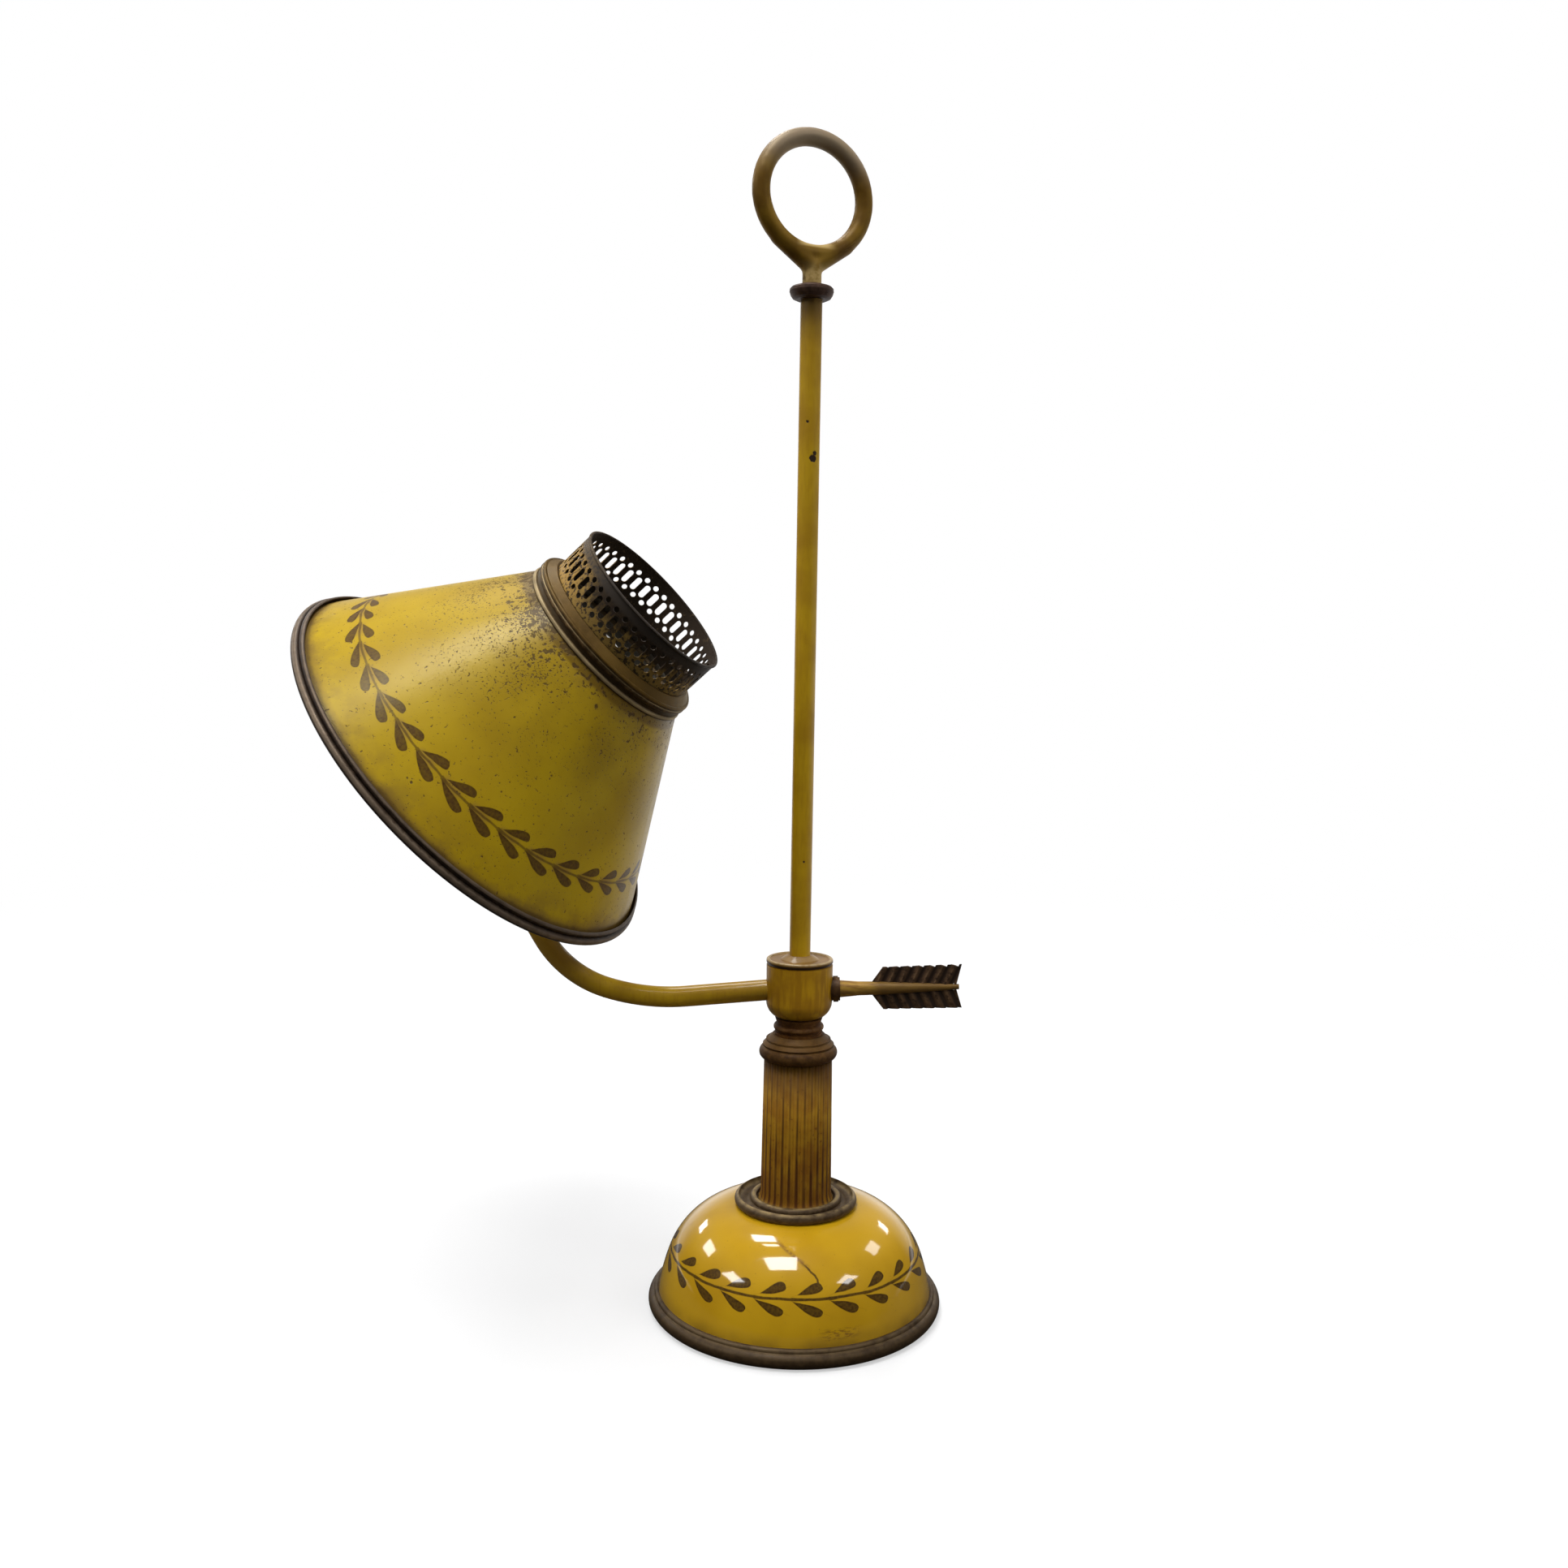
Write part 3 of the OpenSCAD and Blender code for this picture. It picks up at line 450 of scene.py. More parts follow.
def vaneBronze(s):
    # painted highlight: a pale line along each barb's ridge; painted shade: dark between barbs
    shop = Shop("arrow vane bronze")
    spot = shop.spot()
    x, _, z = shop.split(spot)
    reach = abs(z - s["z"] - x * s["climb"])
    place = (x - s["foot"] - (reach - s["root"]) * s["lean"]) / s["pitch"]
    ridge = abs(place.calc("FRACT") - 0.5)
    mottle = shop.noise(spot, 0.5, 4, 0.65)
    colour = shop.mix(ridge.ramp(0.42, 0.15) * mottle.ramp(0.25, 0.6), s["dark"], s["mid"])
    crestHighlight = ridge.ramp(0.17, 0.03) * mottle.ramp(0.35, 0.6) * reach.ramp(*s["crestHighlight"]) * 0.8
    colour = shop.mix(crestHighlight, colour, s["pale"])
    return shop.done(colour, 0.35 + 0.3 * mottle, metal=0.2, height=mottle, depth=0.08, specular=0.35)


# what all the aged metal pieces start from
agedMetal = {
    "dark": (0.035, 0.018, 0.007), "mid": (0.115, 0.065, 0.024), "pale": (0.33, 0.225, 0.10),
    "wearAndHighlight": 0.6, "metal": 0.35, "patch": 1.0, "shine": 0.3, "beads": [], "frame": {},
}

# what differs on each piece; a bead whose crown is paler, partly from wear and partly as a painted
# highlight, is given by what it is measured along, its middle, how far from there the paleness ends and how
# far it is full, and its strength
agedPieces = {
    "base_rim": {
        "name": "base rim brass", "wearAndHighlight": 0.8,
        "dark": (0.04, 0.022, 0.008), "mid": (0.085, 0.05, 0.02), "pale": (0.13, 0.085, 0.038),
        "beads": [("z", 7.6, 1.5, 0.4, 1), ("z", 5.6, 1.0, 0.2, 0.35)],
    },
    "dome_collar": {
        "name": "dome collar brass", "wearAndHighlight": 0.7,
        "dark": (0.06, 0.035, 0.015), "mid": (0.15, 0.1, 0.05), "pale": (0.4, 0.28, 0.11),
        "beads": [("radius", 26.4, 1.8, 0.4, 0.75), ("radius", 19.4, 1.3, 0.3, 1)],
    },
    "column_cap": {
        "name": "column cap brass", "patch": 0.5, "metal": 0.1, "shine": 0.1,
        "dark": (0.055, 0.025, 0.008), "mid": (0.14, 0.068, 0.018), "pale": (0.17, 0.09, 0.025),
        "beads": [("z", 130, 9, 6.5, 1)],
    },
    "neck_spool": {
        "name": "neck spool brass", "wearAndHighlight": 0.45, "metal": 0.1, "shine": 0.12,
        "dark": (0.09, 0.034, 0.009), "mid": (0.21, 0.092, 0.02), "pale": (0.33, 0.18, 0.07),
        "beads": [("z", 131.3, 1.2, 0.3, 1)],
    },
    "finial_collar": {
        "name": "finial collar bronze", "metal": 0.2,
        "dark": (0.045, 0.022, 0.014), "mid": (0.13, 0.07, 0.045), "pale": (0.27, 0.18, 0.13),
    },
    "arrow_collar": {
        "name": "arrow collar bronze", "wearAndHighlight": 0.4, "metal": 0.2,
        "dark": (0.055, 0.025, 0.008), "mid": (0.14, 0.068, 0.018), "pale": (0.17, 0.09, 0.025),
    },
    "knuckle_lower": {"name": "knuckle brass"},
    "knuckle_upper": {"name": "tongue brass"},
    "knuckle_nut": {"name": "thumb nut brass", "wearAndHighlight": 0.9},
    # the pale on this rim's crests is a painted highlight
    "shade_rim": {
        "name": "shade rim brass", "metal": 0.5, "patch": 0.3, "frame": headFrame,
        "dark": (0.02, 0.011, 0.007), "mid": (0.065, 0.037, 0.02), "pale": (0.3, 0.225, 0.155),
        "beads": [("z", 14.6, 1.4, 0.5, 1), ("z", 17.9, 0.7, 0.2, 0.6)],
    },
}


def crownWearAndHighlight(x, y, z, beads):
    # 0 in hollows, 1 on the crown of a bead, where wear and a painted highlight make it paler
    along = {"z": z, "radius": radiusOf(x, y)}
    crowns = [abs(along[way] - middle).ramp(edge, full) * strength
              for way, middle, edge, full, strength in beads]
    return reduce(lambda first, second: first.calc("MAXIMUM", second), crowns)


def agedBrass(s):
    shop = Shop(s["name"])
    spot = shop.spot(**s["frame"])
    mottle = shop.noise(spot, 0.35, 5, 0.65)
    broad = shop.noise(spot, 0.08, 3)
    colour = shop.mix(mottle.ramp(0.3, 0.75) * (0.55 + 0.45 * broad), s["dark"], s["mid"])
    if s["beads"]:
        kept = 1 - s["patch"] * shop.noise(spot, 0.2, 4).ramp(0.6, 0.3)
        wornAndLit = crownWearAndHighlight(*shop.split(spot), s["beads"]) * kept
    else:
        wornAndLit = mottle.ramp(0.6, 0.85)
    colour = shop.mix(wornAndLit * s["wearAndHighlight"], colour, s["pale"])
    rough = 0.36 + 0.3 * mottle
    return shop.done(colour, rough, metal=s["metal"], height=mottle, depth=0.1, specular=s["shine"])


columnTones = {"gold": (0.44, 0.23, 0.014), "deep": (0.3, 0.135, 0.009), "brown": (0.034, 0.014, 0.003),
               "rub": (0.1, 0.04, 0.008), "russet": (0.12, 0.035, 0.006), "bright": (0.33, 0.2, 0.05),
               "reeds": 30,
               # where each mark starts and where it is full, up the column
               "bands": {"low": (96.2, 52.7), "rub": (94.2, 110.2), "top": (110.2, 116.2),
                         "foot": (52.1, 50.5)}}


def reededGold(s):
    shop = Shop("reeded column gold")
    spot = shop.spot()
    x, y, z = shop.split(spot)
    bands = s["bands"]
    cloud = shop.noise(spot, 0.1, 4)
    colour = shop.mix(cloud.ramp(0.3, 0.7), s["gold"], s["deep"])
    across = abs((angleOf(x, y) * (s["reeds"] / tau)).calc("FRACT") - 0.5)
    groove = across.ramp(0.22, 0.02)
    depth = shop.noise(shop.stretch(spot, (1, 1, 0.15)), 0.35, 3).ramp(0.25, 0.6)
    low = z.ramp(*bands["low"])
    groove = (groove + low * across.ramp(0.34, 0.2) * 0.5).calc("MINIMUM", 1)
    colour = shop.mix((groove * (0.25 + 0.5 * depth + 0.4 * low)).calc("MINIMUM", 0.95), colour, s["brown"])
    russet = low * (0.3 + 0.7 * shop.noise(spot, 0.07, 2).ramp(0.35, 0.6))
    colour = shop.mix(russet * 0.55, colour, s["russet"])
    colour = shop.mix(z.ramp(*bands["rub"]) * 0.65, colour, s["rub"])
    rub = shop.noise(spot, 0.55, 4).ramp(0.62, 0.72)
    colour = shop.mix(rub * 0.6, colour, s["rub"])
    colour = shop.mix(z.ramp(*bands["top"]) * 0.5, colour, s["brown"])
    colour = shop.mix(z.ramp(*bands["foot"]) * 0.5, colour, s["bright"])
    return shop.done(colour, 0.42 + 0.25 * cloud, height=cloud, depth=0.1, specular=0.14)


galleryTones = {"gold": (0.25, 0.155, 0.035), "bright": (0.4, 0.235, 0.05), "dark": (0.028, 0.017, 0.01),
                "band": (0.05, 0.04, 0.032), "inside": (0.035, 0.022, 0.012), "fleck": (0.14, 0.09, 0.04),
                "smoked": (111, 119), "side": (-10, -26), "lip": (121, 123.5), "wall": (37.8, 37.6)}


def galleryGold(s):
    shop = Shop("gallery antique gold")
    spot = shop.spot(**headFrame)
    x, y, z = shop.split(spot)
    mottle = shop.noise(spot, 0.32, 5, 0.65)
    blotch = shop.noise(spot, 0.12, 3)
    smoked = (z + (mottle - 0.5) * 14 + (blotch - 0.5) * 18).ramp(*s["smoked"])
    # painted light: the left end is lighter gold and less dark, where light falls on it
    side = x.ramp(*s["side"])
    colour = shop.mix(smoked * (0.95 - 0.7 * side), shop.mix(side, s["gold"], s["bright"]), s["dark"])
    colour = shop.mix(shop.noise(spot, 0.7, 3).ramp(0.5, 0.62) * 0.9, colour, s["dark"])
    colour = shop.mix(z.ramp(*s["lip"]) * 0.8, colour, s["band"])
    fleck = shop.noise(spot, 0.6, 4).ramp(0.6, 0.7)
    # inside the wall it is dark brown with paler flecks, partly its colour and partly painted shade
    lining = shop.mix(fleck * 0.5, s["inside"], s["fleck"])
    colour = shop.mix(radiusOf(x, y).ramp(*s["wall"]), colour, lining)
    return shop.done(colour, 0.45 + 0.3 * mottle, metal=0.2, height=mottle, depth=0.12, specular=0.25)


shoulderTones = {"cove": (0.045, 0.025, 0.01), "slope": (0.125, 0.067, 0.008), "pale": (0.5, 0.38, 0.2),
                 "sootAndShade": (0.02, 0.013, 0.009), "lowBead": 98.4, "middle": 103, "skin": 41.6,
                 "bend": 104.7, "fall": 1.1, "coveFoot": (99.1, 99.6), "coveTop": (101.6, 101),
                 "slopeFoot": (103.4, 104.4)}


def shoulderMetal(s):
    shop = Shop("shade shoulder brass")
    spot = shop.spot(**headFrame)
    x, y, z = shop.split(spot)
    mottle = shop.noise(spot, 0.35, 5, 0.65)
    broad = shop.noise(spot, 0.06, 3).ramp(0.3, 0.65)
    colour = shop.mix(mottle.ramp(0.35, 0.7), agedMetal["dark"], agedMetal["mid"])
    # painted shade in the cove between the beads
    colour = shop.mix(z.ramp(*s["coveFoot"]) * z.ramp(*s["coveTop"]) * 0.8, colour, s["cove"])
    colour = shop.mix(z.ramp(*s["slopeFoot"]) * (0.4 + 0.5 * broad), colour, s["slope"])
    # painted highlights: pale lines along the low bead and the middle bead
    crestHighlight = abs(z - s["lowBead"]).ramp(1.1, 0.3).calc("MAXIMUM", abs(z - s["middle"]).ramp(0.4, 0.1))
    colour = shop.mix(crestHighlight * (0.35 + 0.5 * broad), colour, s["pale"])
    # the inside of the shoulder is painted near-black, partly soot and partly painted shade
    skin = s["skin"] - (z - s["bend"]).calc("MAXIMUM", 0) * s["fall"]
    colour = shop.mix((skin - radiusOf(x, y)).ramp(-0.1, 0.2), colour, s["sootAndShade"])
    return shop.done(colour, 0.36 + 0.25 * mottle, metal=0.35, height=mottle, depth=0.1, specular=0.35,
                     tint=(1, 0.88, 0.6))


ringTones = {"gold": (0.235, 0.13, 0.012), "deep": (0.13, 0.062, 0.007), "crown": (0.37, 0.29, 0.2),
             "pale": (0.62, 0.44, 0.17), "crownBand": (502, 520), "neckBand": (471, 465), "web": 477.4,
             "webReach": (11, 6)}


def ringGold(s):
    # smoked gold, with painted highlights: pale at the neck, on the web and over the crown
    shop = Shop("ring gold")
    spot = shop.spot()
    x, y, z = shop.split(spot)
    cloud = shop.noise(spot, 0.06, 3)
    fine = shop.noise(spot, 0.25, 3)
    colour = shop.mix(cloud.ramp(0.35, 0.65), s["gold"], s["deep"])
    colour = shop.mix(z.ramp(*s["crownBand"]) * (0.6 + 0.3 * cloud), colour, s["crown"])
    neck = z.ramp(*s["neckBand"]) * fine.ramp(0.3, 0.55)
    web = abs(z - s["web"]).ramp(1.8, 0.5) * radiusOf(x, y).ramp(*s["webReach"])
    colour = shop.mix(neck.calc("MAXIMUM", web) * 0.75, colour, s["pale"])
    return shop.done(colour, 0.38 + 0.12 * fine, metal=0.1, height=fine, depth=0.06, specular=0.25,
                     tint=(1, 0.9, 0.6))


def plainMetal(name, colour, rough, metal=1.0, grain=1.5):
    shop = Shop(name)
    brush = shop.noise(shop.spot(), grain, 3)
    dulled = tuple(c * 0.7 for c in colour)
    colour = shop.mix(brush, colour, dulled)
    return shop.done(colour, rough + 0.15 * brush, metal=metal, height=brush, depth=0.03)


def softStuff(name, colour, rough, grain=2.0, depth=0.2):
    shop = Shop(name)
    fuzz = shop.noise(shop.spot(), grain, 4, 0.7)
    hollow = tuple(c * 0.5 for c in colour)
    return shop.done(shop.mix(fuzz, hollow, colour), rough, height=fuzz, depth=depth)


def bulbFrost():
    shop = Shop("frosted bulb glass")
    haze = shop.noise(shop.spot(), 0.2, 2)
    return shop.done(shop.mix(haze, (0.86, 0.85, 0.8), (0.95, 0.94, 0.9)), 0.32, coat=0.6)


tubeFinish = tubeEnamel(tubePaint)
hubFinish = hubEnamel(hubPaint)
brightBrass = plainMetal("socket brass", (0.62, 0.42, 0.16), 0.28)
dullBrass = plainMetal("spider brass", (0.13, 0.085, 0.035), 0.55, metal=0.5)
steel = plainMetal("plated steel", (0.52, 0.52, 0.5), 0.32)
phenolic = softStuff("brown phenolic", (0.03, 0.016, 0.01), 0.3, 1.0, 0.05)
finishes = {
    "base_felt": softStuff("green felt", (0.03, 0.09, 0.045), 0.95, 3.0, 0.4),
    "base_shell": domeEnamel(domePaint),
    "base_weight": softStuff("cast iron", (0.07, 0.07, 0.07), 0.7, 0.8, 0.4),
    "cord_bushing": phenolic,
    "column": reededGold(columnTones),
    "swivel_washer": softStuff("fibre washer", (0.14, 0.06, 0.03), 0.8),
    "column_lead": softStuff("lead sleeve", (0.03, 0.03, 0.03), 0.5),
    "arm_lead": softStuff("arm lead sleeve", (0.03, 0.03, 0.03), 0.5),
    "hub_body": hubFinish, "hub_cap": hubFinish, "arrow_shaft": arrowGold(arrowTones),
    "stem_rod": tubeFinish, "arm_tube": tubeFinish, "arm_ferrule": tubeFinish,
    "ring_handle": ringGold(ringTones),
    "arrow_vanes": vaneBronze(vaneTones),
    "socket_insulator": softStuff("fibre sleeve", (0.2, 0.12, 0.06), 0.8),
    "socket_interior": phenolic, "turn_key": phenolic,
    "bulb_base": plainMetal("bulb cap nickel", (0.66, 0.66, 0.64), 0.25),
    "bulb_glass": bulbFrost(),
    "shade_cone": shadeEnamel(shadePaint),
    "shade_shoulder": shoulderMetal(shoulderTones),
    "shade_gallery": galleryGold(galleryTones),
}
for name, settings in agedPieces.items():
    finishes[name] = agedBrass({**agedMetal, **settings})
for name in ("socket_cap", "socket_shell", "socket_screw_shell", "socket_contact"):
    finishes[name] = brightBrass
for name in ("shade_ring", "shade_spider"):
    finishes[name] = dullBrass
for name, piece in frame["nodes"].items():
    piece.data.materials.clear()
    piece.data.materials.append(finishes.get(name, steel))
print("finishes made")


# modelled pieces
def finishPiece(shape, name, material, body, smooth=True, place=Matrix()):
    # millimetres to metres, place in the mesh, then ride and slot
    bmesh.ops.transform(shape, matrix=place @ Matrix.Scale(mm, 4), verts=shape.verts)
    bmesh.ops.recalc_face_normals(shape, faces=shape.faces)
    mesh = bpy.data.meshes.new(name)
    shape.to_mesh(mesh)
    shape.free()
    mesh.materials.append(material)
    mesh.polygons.foreach_set("use_smooth", [smooth] * len(mesh.polygons))
    piece = bpy.data.objects.new(name, mesh)
    bpy.context.scene.collection.objects.link(piece)
    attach(piece, body)
    return piece


def applyModifiers(piece):
    # the evaluated mesh takes the place of the drawn one
    graph = bpy.context.evaluated_depsgraph_get()
    baked = bpy.data.meshes.new_from_object(piece.evaluated_get(graph))
    piece.modifiers.clear()
    drawn = piece.data
    piece.data = baked
    bpy.data.meshes.remove(drawn)


def addBar(shape, start, end, startR, endR, segments=32):
    start, end = Vector(start), Vector(end)
    aim = (end - start).to_track_quat("Z", "Y").to_matrix().to_4x4()
    middle = Matrix.Translation((start + end) / 2)
    bmesh.ops.create_cone(shape, cap_ends=True, segments=segments, radius1=startR, radius2=endR,
                          depth=(end - start).length, matrix=middle @ aim)


# neck, limbs and web taper from their first radius to their second
ringSetup = {"turn": 26, "radius": 25, "bar": 4.05, "rise": 37.2, "squash": 0.975, "sides": 32,
             "steps": 96, "plug": 3.76, "plugDepth": 14, "plugRise": 2, "neck": (4.4, 4.2),
             "neckTop": 9, "root": 8, "limb": (4.2, 3.75), "reach": 44, "web": (3.65, 3.25),
             "webSpan": (6.5, 5), "voxel": 0.75, "smooth": 14}


def addRing(s):
    # a cast ring drawn down into its neck, melted together by a remesh
    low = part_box("finial_collar")[1][2] / mm
    middle = low + s["rise"]
    shape = bmesh.new()
    bmesh.ops.create_circle(shape, segments=s["sides"], radius=s["bar"],
                            matrix=Matrix.Translation((s["radius"], 0, middle)))
    bmesh.ops.spin(shape, geom=shape.verts[:] + shape.edges[:], cent=(0, 0, middle), axis=(0, 1, 0),
                   angle=tau, steps=s["steps"], use_merge=True)
    top = Matrix.Translation((0, 0, -middle - s["radius"]))
    bmesh.ops.scale(shape, vec=(1, 1, s["squash"]), verts=shape.verts, space=top)
    addBar(shape, (0, 0, low - s["plugDepth"]), (0, 0, low + s["plugRise"]), s["plug"], s["plug"])
    addBar(shape, (0, 0, low), (0, 0, low + s["neckTop"]), *s["neck"])
    root = Vector((0, 0, low + s["root"]))
    reach = radians(s["reach"])
    out, up = s["webSpan"]
    for side in (-1, 1):
        touch = Vector((side * s["radius"] * sin(reach), 0, middle - s["radius"] * cos(reach)))
        addBar(shape, root, touch, *s["limb"])
        addBar(shape, root, root + Vector((side * out, 0, up)), *s["web"])
    ring = finishPiece(shape, "cast_ring", finishes["ring_handle"], "hub",
                       place=Matrix.Rotation(radians(s["turn"]), 4, "Z"))
    melt = ring.modifiers.new("melt", "REMESH")
    melt.mode = "VOXEL"
    melt.voxel_size = s["voxel"] * mm
    melt.use_smooth_shade = True
    soften = ring.modifiers.new("soften", "SMOOTH")
    soften.iterations = s["smooth"]
    applyModifiers(ring)
    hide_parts("ring_handle")


# ends are the slanted cuts at both ends of the vanes, tips the cuts along their outer edges
vaneSetup = {"z": vaneTones["z"], "rise": 2, "foot": vaneTones["foot"], "length": 41, "height": 9.9,
             "barbs": 7, "lean": 0.38, "thick": 1.7, "overlap": 1.25, "shaftR": 1.1,
             "ends": [(-1, 0.75, "before"), (39.4, 0.28, "beyond")],
             "tips": [(1, 9.6, 0.02), (-1, 9.7, 0)]}


def cut(shape, geometry, place, normal, drop):
    # slices with a plane, drops what lies before or beyond it and closes the cut
    sliced = bmesh.ops.bisect_plane(shape, geom=geometry, plane_co=place,
                                    plane_no=Vector(normal).normalized(),
                                    clear_inner=drop == "before", clear_outer=drop == "beyond")
    edges = [e for e in sliced["geom_cut"] if isinstance(e, bmesh.types.BMEdge)]
    bmesh.ops.holes_fill(shape, edges=edges)


def addVanes(s):
    # two feathered vanes: slanted ridged barbs side by side
    shape = bmesh.new()
    pitch = (s["length"] - s["height"] * s["lean"]) / s["barbs"]
    for side in (-1, 1):
        for index in range(-1, s["barbs"] + 1):
            foot = Vector((s["foot"] + (index + 0.5) * pitch, 0, side * s["shaftR"]))
            tip = foot + Vector((s["height"] * s["lean"], 0, side * (s["height"] - s["shaftR"])))
            before = len(shape.verts)
            addBar(shape, foot, tip, pitch * 0.5, pitch * 0.5, segments=4)
            shape.verts.ensure_lookup_table()
            bmesh.ops.scale(shape, vec=(s["overlap"], s["thick"] / pitch, 1), verts=shape.verts[before:],
                            space=Matrix.Translation(-foot))
    for side in (-1, 1):
        for start, lean, drop in s["ends"]:
            half = [face for face in shape.faces if face.calc_center_median().z * side > 0]
            chosen = set(half)
            geometry = half + [part for parts in (shape.edges, shape.verts) for part in parts
                               if not chosen.isdisjoint(part.link_faces)]
            cut(shape, geometry, (s["foot"] + start, 0, 0), (1, 0, -side * lean), drop)
    for side, height, growth in s["tips"]:
        geometry = shape.faces[:] + shape.edges[:] + shape.verts[:]
        cut(shape, geometry, (s["foot"], 0, side * height), (-growth, 0, side), "beyond")
    place = Matrix.Translation((0, 0, s["z"] * mm)) @ Matrix.Rotation(radians(-s["rise"]), 4, "Y")
    vanes = finishPiece(shape, "feathered_vanes", finishes["arrow_vanes"], "hub",
                        smooth=False, place=place)
    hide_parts("arrow_vanes")


# flare is how far the foot spreads at each height
columnSetup = {"reeds": columnTones["reeds"], "steps": 10, "footR": 16.35, "topR": 15.65, "bore": 14,
               "depth": 0.6, "fadeIn": 1.2, "faceOrder": (1, 1.7, 20),
               "flare": [(0, 1.2), (0.8, 0.9), (1.8, 0.45), (3, 0.15), (4.5, 0), (35, 0), (66.5, 0)]}


def turnOf(vert):
    return vert.co.xy.angle_signed(Vector((1, 0)))


def addColumn(s):
    # half-round reeds on a tapered tube that flares at its foot
    low, high = (corner[2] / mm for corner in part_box("column"))
    shape = bmesh.new()
    count = s["reeds"] * s["steps"]
    ring = bmesh.ops.create_circle(shape, segments=count, radius=1)["verts"]
    edges = foot = shape.edges[:]
    for rise, flare in s["flare"]:
        if rise > 0:
            made = bmesh.ops.extrude_edge_only(shape, edges=edges)["geom"]
            ring = [v for v in made if isinstance(v, bmesh.types.BMVert)]
            edges = [e for e in made if isinstance(e, bmesh.types.BMEdge)]
        share = rise / s["flare"][-1][0]
        radius = s["footR"] + (s["topR"] - s["footR"]) * share + flare
        groove = s["depth"] * min(1, rise / s["fadeIn"])
        for v in ring:
            turn = turnOf(v)
            across = 2 * ((turn * s["reeds"] / tau) % 1) - 1
            reed = radius - groove * (1 - max(0, 1 - across * across) ** 0.5)
            v.co = (reed * cos(turn), reed * sin(turn), low + rise)
    inner = []
    for source, height in ((edges, high), (foot, low)):
        made = bmesh.ops.extrude_edge_only(shape, edges=source)["geom"]
        for v in made:
            if isinstance(v, bmesh.types.BMVert):
                turn = turnOf(v)
                v.co = (s["bore"] * cos(turn), s["bore"] * sin(turn), height)
        inner += [e for e in made if isinstance(e, bmesh.types.BMEdge)]
    bmesh.ops.bridge_loops(shape, edges=inner)
    # extruding adds faces in any order, so they are put in one that is the same each run
    shape.faces.sort(key=lambda face: face.calc_center_median().dot(s["faceOrder"]))
    column = finishPiece(shape, "reeded_column", finishes["column"], "base")
    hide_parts("column")


addRing(ringSetup)
addVanes(vaneSetup)
addColumn(columnSetup)
print("pieces modelled")


# floor and light
floorSetup = {"size": 60, "colour": (0.86, 0.86, 0.86), "bounce": (0.12, 0.115, 0.11),
              "fade": (1.3, 0.35), "shadow": 0.5, "sweepSpan": (0.1, 0.6), "sweep": 0.95}


def addFloor(s):
    # white where the camera sees it past its soft shadow, and a pale sweep in reflections
    shape = bmesh.new()
    bmesh.ops.create_grid(shape, x_segments=1, y_segments=1, size=s["size"])
    mesh = bpy.data.meshes.new("floor")
    shape.to_mesh(mesh)
    shape.free()
    floor = bpy.data.objects.new("floor", mesh)
    bpy.context.scene.collection.objects.link(floor)
    shop = Shop("pale floor")
    x, y, _ = shop.split(shop.spot(scale=1))
    far = 1 - radiusOf(x, y).ramp(*s["fade"]) * s["shadow"]
    seen = shop.node("ShaderNodeLightPath", output="Is Camera Ray")
    plain = shop.node("ShaderNodeBsdfDiffuse", None, {"Color": shop.mix(seen, s["bounce"], s["colour"])})
    mirrored = shop.node("ShaderNodeLightPath", output="Is Glossy Ray") * y.ramp(*s["sweepSpan"])
    glow = shop.mix(seen + mirrored * s["sweep"], (0, 0, 0), (1, 1, 1))
    white = shop.node("ShaderNodeEmission", None, {"Color": glow, "Strength": 1})
    mesh.materials.append(shop.out(shop.node("ShaderNodeMixShader", None, [far, plain, white])))


addFloor(floorSetup)


# ceiling panels in a grid, mirrored in the dome: x, y, width, depth and share of the power
panelSetup = {
    "height": 2.0, "size": 0.72, "power": 24,
    "places": [(-0.44, 0.9, 0.52, 1.15, 1), (-0.31, -0.52, 1, 1, 1), (-2.6, 3.6, 1.2, 1.2, 0.85),
               (-2.6, 1.2, 1.3, 1.3, 0.65), (2.3, 3.4, 1.2, 1.2, 0.6), (2.0, 1.04, 1, 1, 0.4),
               (-2.6, -1.2, 1.3, 1.3, 0.8), (2.0, -1.3, 1, 1, 0.6)],
}


def addLight(name, wide, deep, power, place):
    light = bpy.data.objects.new(name, bpy.data.lights.new(name, "AREA"))
    light.data.shape = "RECTANGLE"
    light.data.size, light.data.size_y, light.data.energy = wide, deep, power
    light.matrix_world = Matrix.Translation(place)
    bpy.context.scene.collection.objects.link(light)
    return light


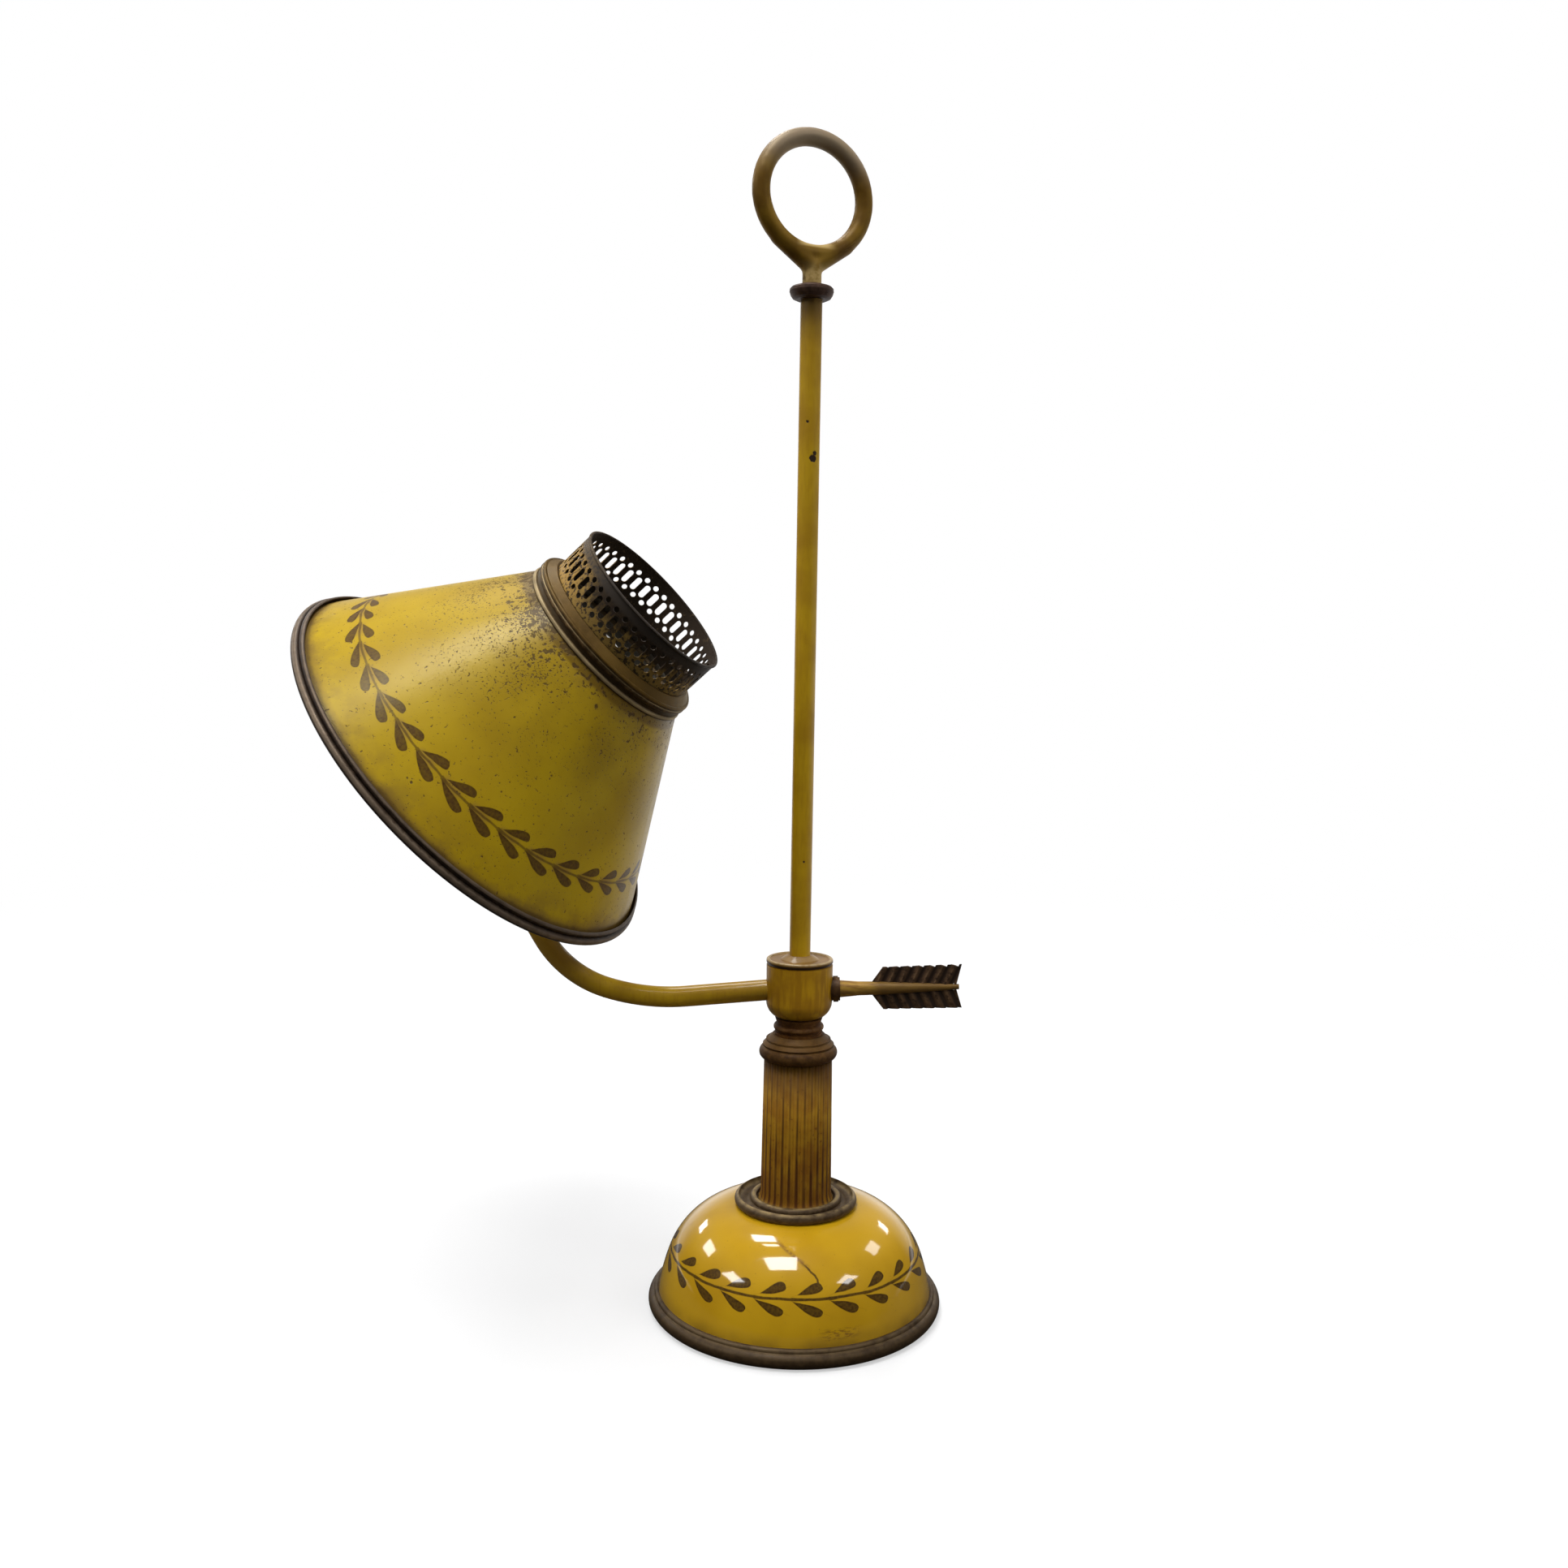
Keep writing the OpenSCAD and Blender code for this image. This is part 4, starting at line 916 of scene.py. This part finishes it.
def addPanels(s):
    for index, (x, y, wide, deep, share) in enumerate(s["places"]):
        power = s["power"] * wide * deep * share
        addLight("panel%d" % index, s["size"] * wide, s["size"] * deep, power, (x, y, s["height"]))


addPanels(panelSetup)


sideSetup = {"place": (1.7, 0.1, 0.2), "aim": (0, 0, 0.42), "wide": 0.9, "tall": 0.5, "power": 0.6,
             "spread": 40}


def addSide(s):
    # a wide soft box low on the right that fills without a reflection
    box = addLight("side box", s["wide"], s["tall"], s["power"], s["place"])
    aim = (Vector(s["aim"]) - Vector(s["place"])).to_track_quat("-Z", "Y")
    box.matrix_world = Matrix.Translation(s["place"]) @ aim.to_matrix().to_4x4()
    box.data.spread = radians(s["spread"])
    box.visible_glossy = False


addSide(sideSetup)


skySetup = {"seen": (1, 1, 1), "low": (0.15, 0.15, 0.15), "high": (0.57, 0.57, 0.58), "highAt": 0.9,
            "strength": 0.9, "front": 0.12, "back": 1.2, "backSpan": (0.6, 0.95), "topSpan": (0.1, 0.35),
            "top": 0.25}


def addSky(s):
    # white behind the object, a dim room for light and a dimmer one in reflections
    shop = Shop("room", bpy.data.worlds)
    bpy.context.scene.world = shop.made
    _, ahead, up = shop.split(shop.node("ShaderNodeTexCoord", output="Generated"))
    climb = shop.node("ShaderNodeValToRGB", {"stops": [(0, s["low"]), (s["highAt"], s["high"])]}, [up])
    behind = shop.node("ShaderNodeMapRange", None, [ahead, *s["backSpan"]])
    behind = behind * shop.node("ShaderNodeMapRange", None, [up, *s["topSpan"], 1, s["top"]])

    def room(colour, strength):
        return shop.node("ShaderNodeBackground", None, {"Color": colour, "Strength": strength})

    def choose(share, first, second):
        return shop.node("ShaderNodeMixShader", None, [share, first, second])

    glossy = shop.node("ShaderNodeLightPath", output="Is Glossy Ray")
    seen = shop.node("ShaderNodeLightPath", output="Is Camera Ray")
    front = room(climb, s["strength"] * s["front"])
    mirrored = choose(behind, front, room(s["seen"], s["strength"] * s["back"]))
    lit = choose(glossy, room(climb, s["strength"]), mirrored)
    shop.out(choose(seen, lit, room(s["seen"], 1)), "ShaderNodeOutputWorld")


addSky(skySetup)
bpy.context.scene.view_settings.view_transform = "Standard"
print("floor and light set")
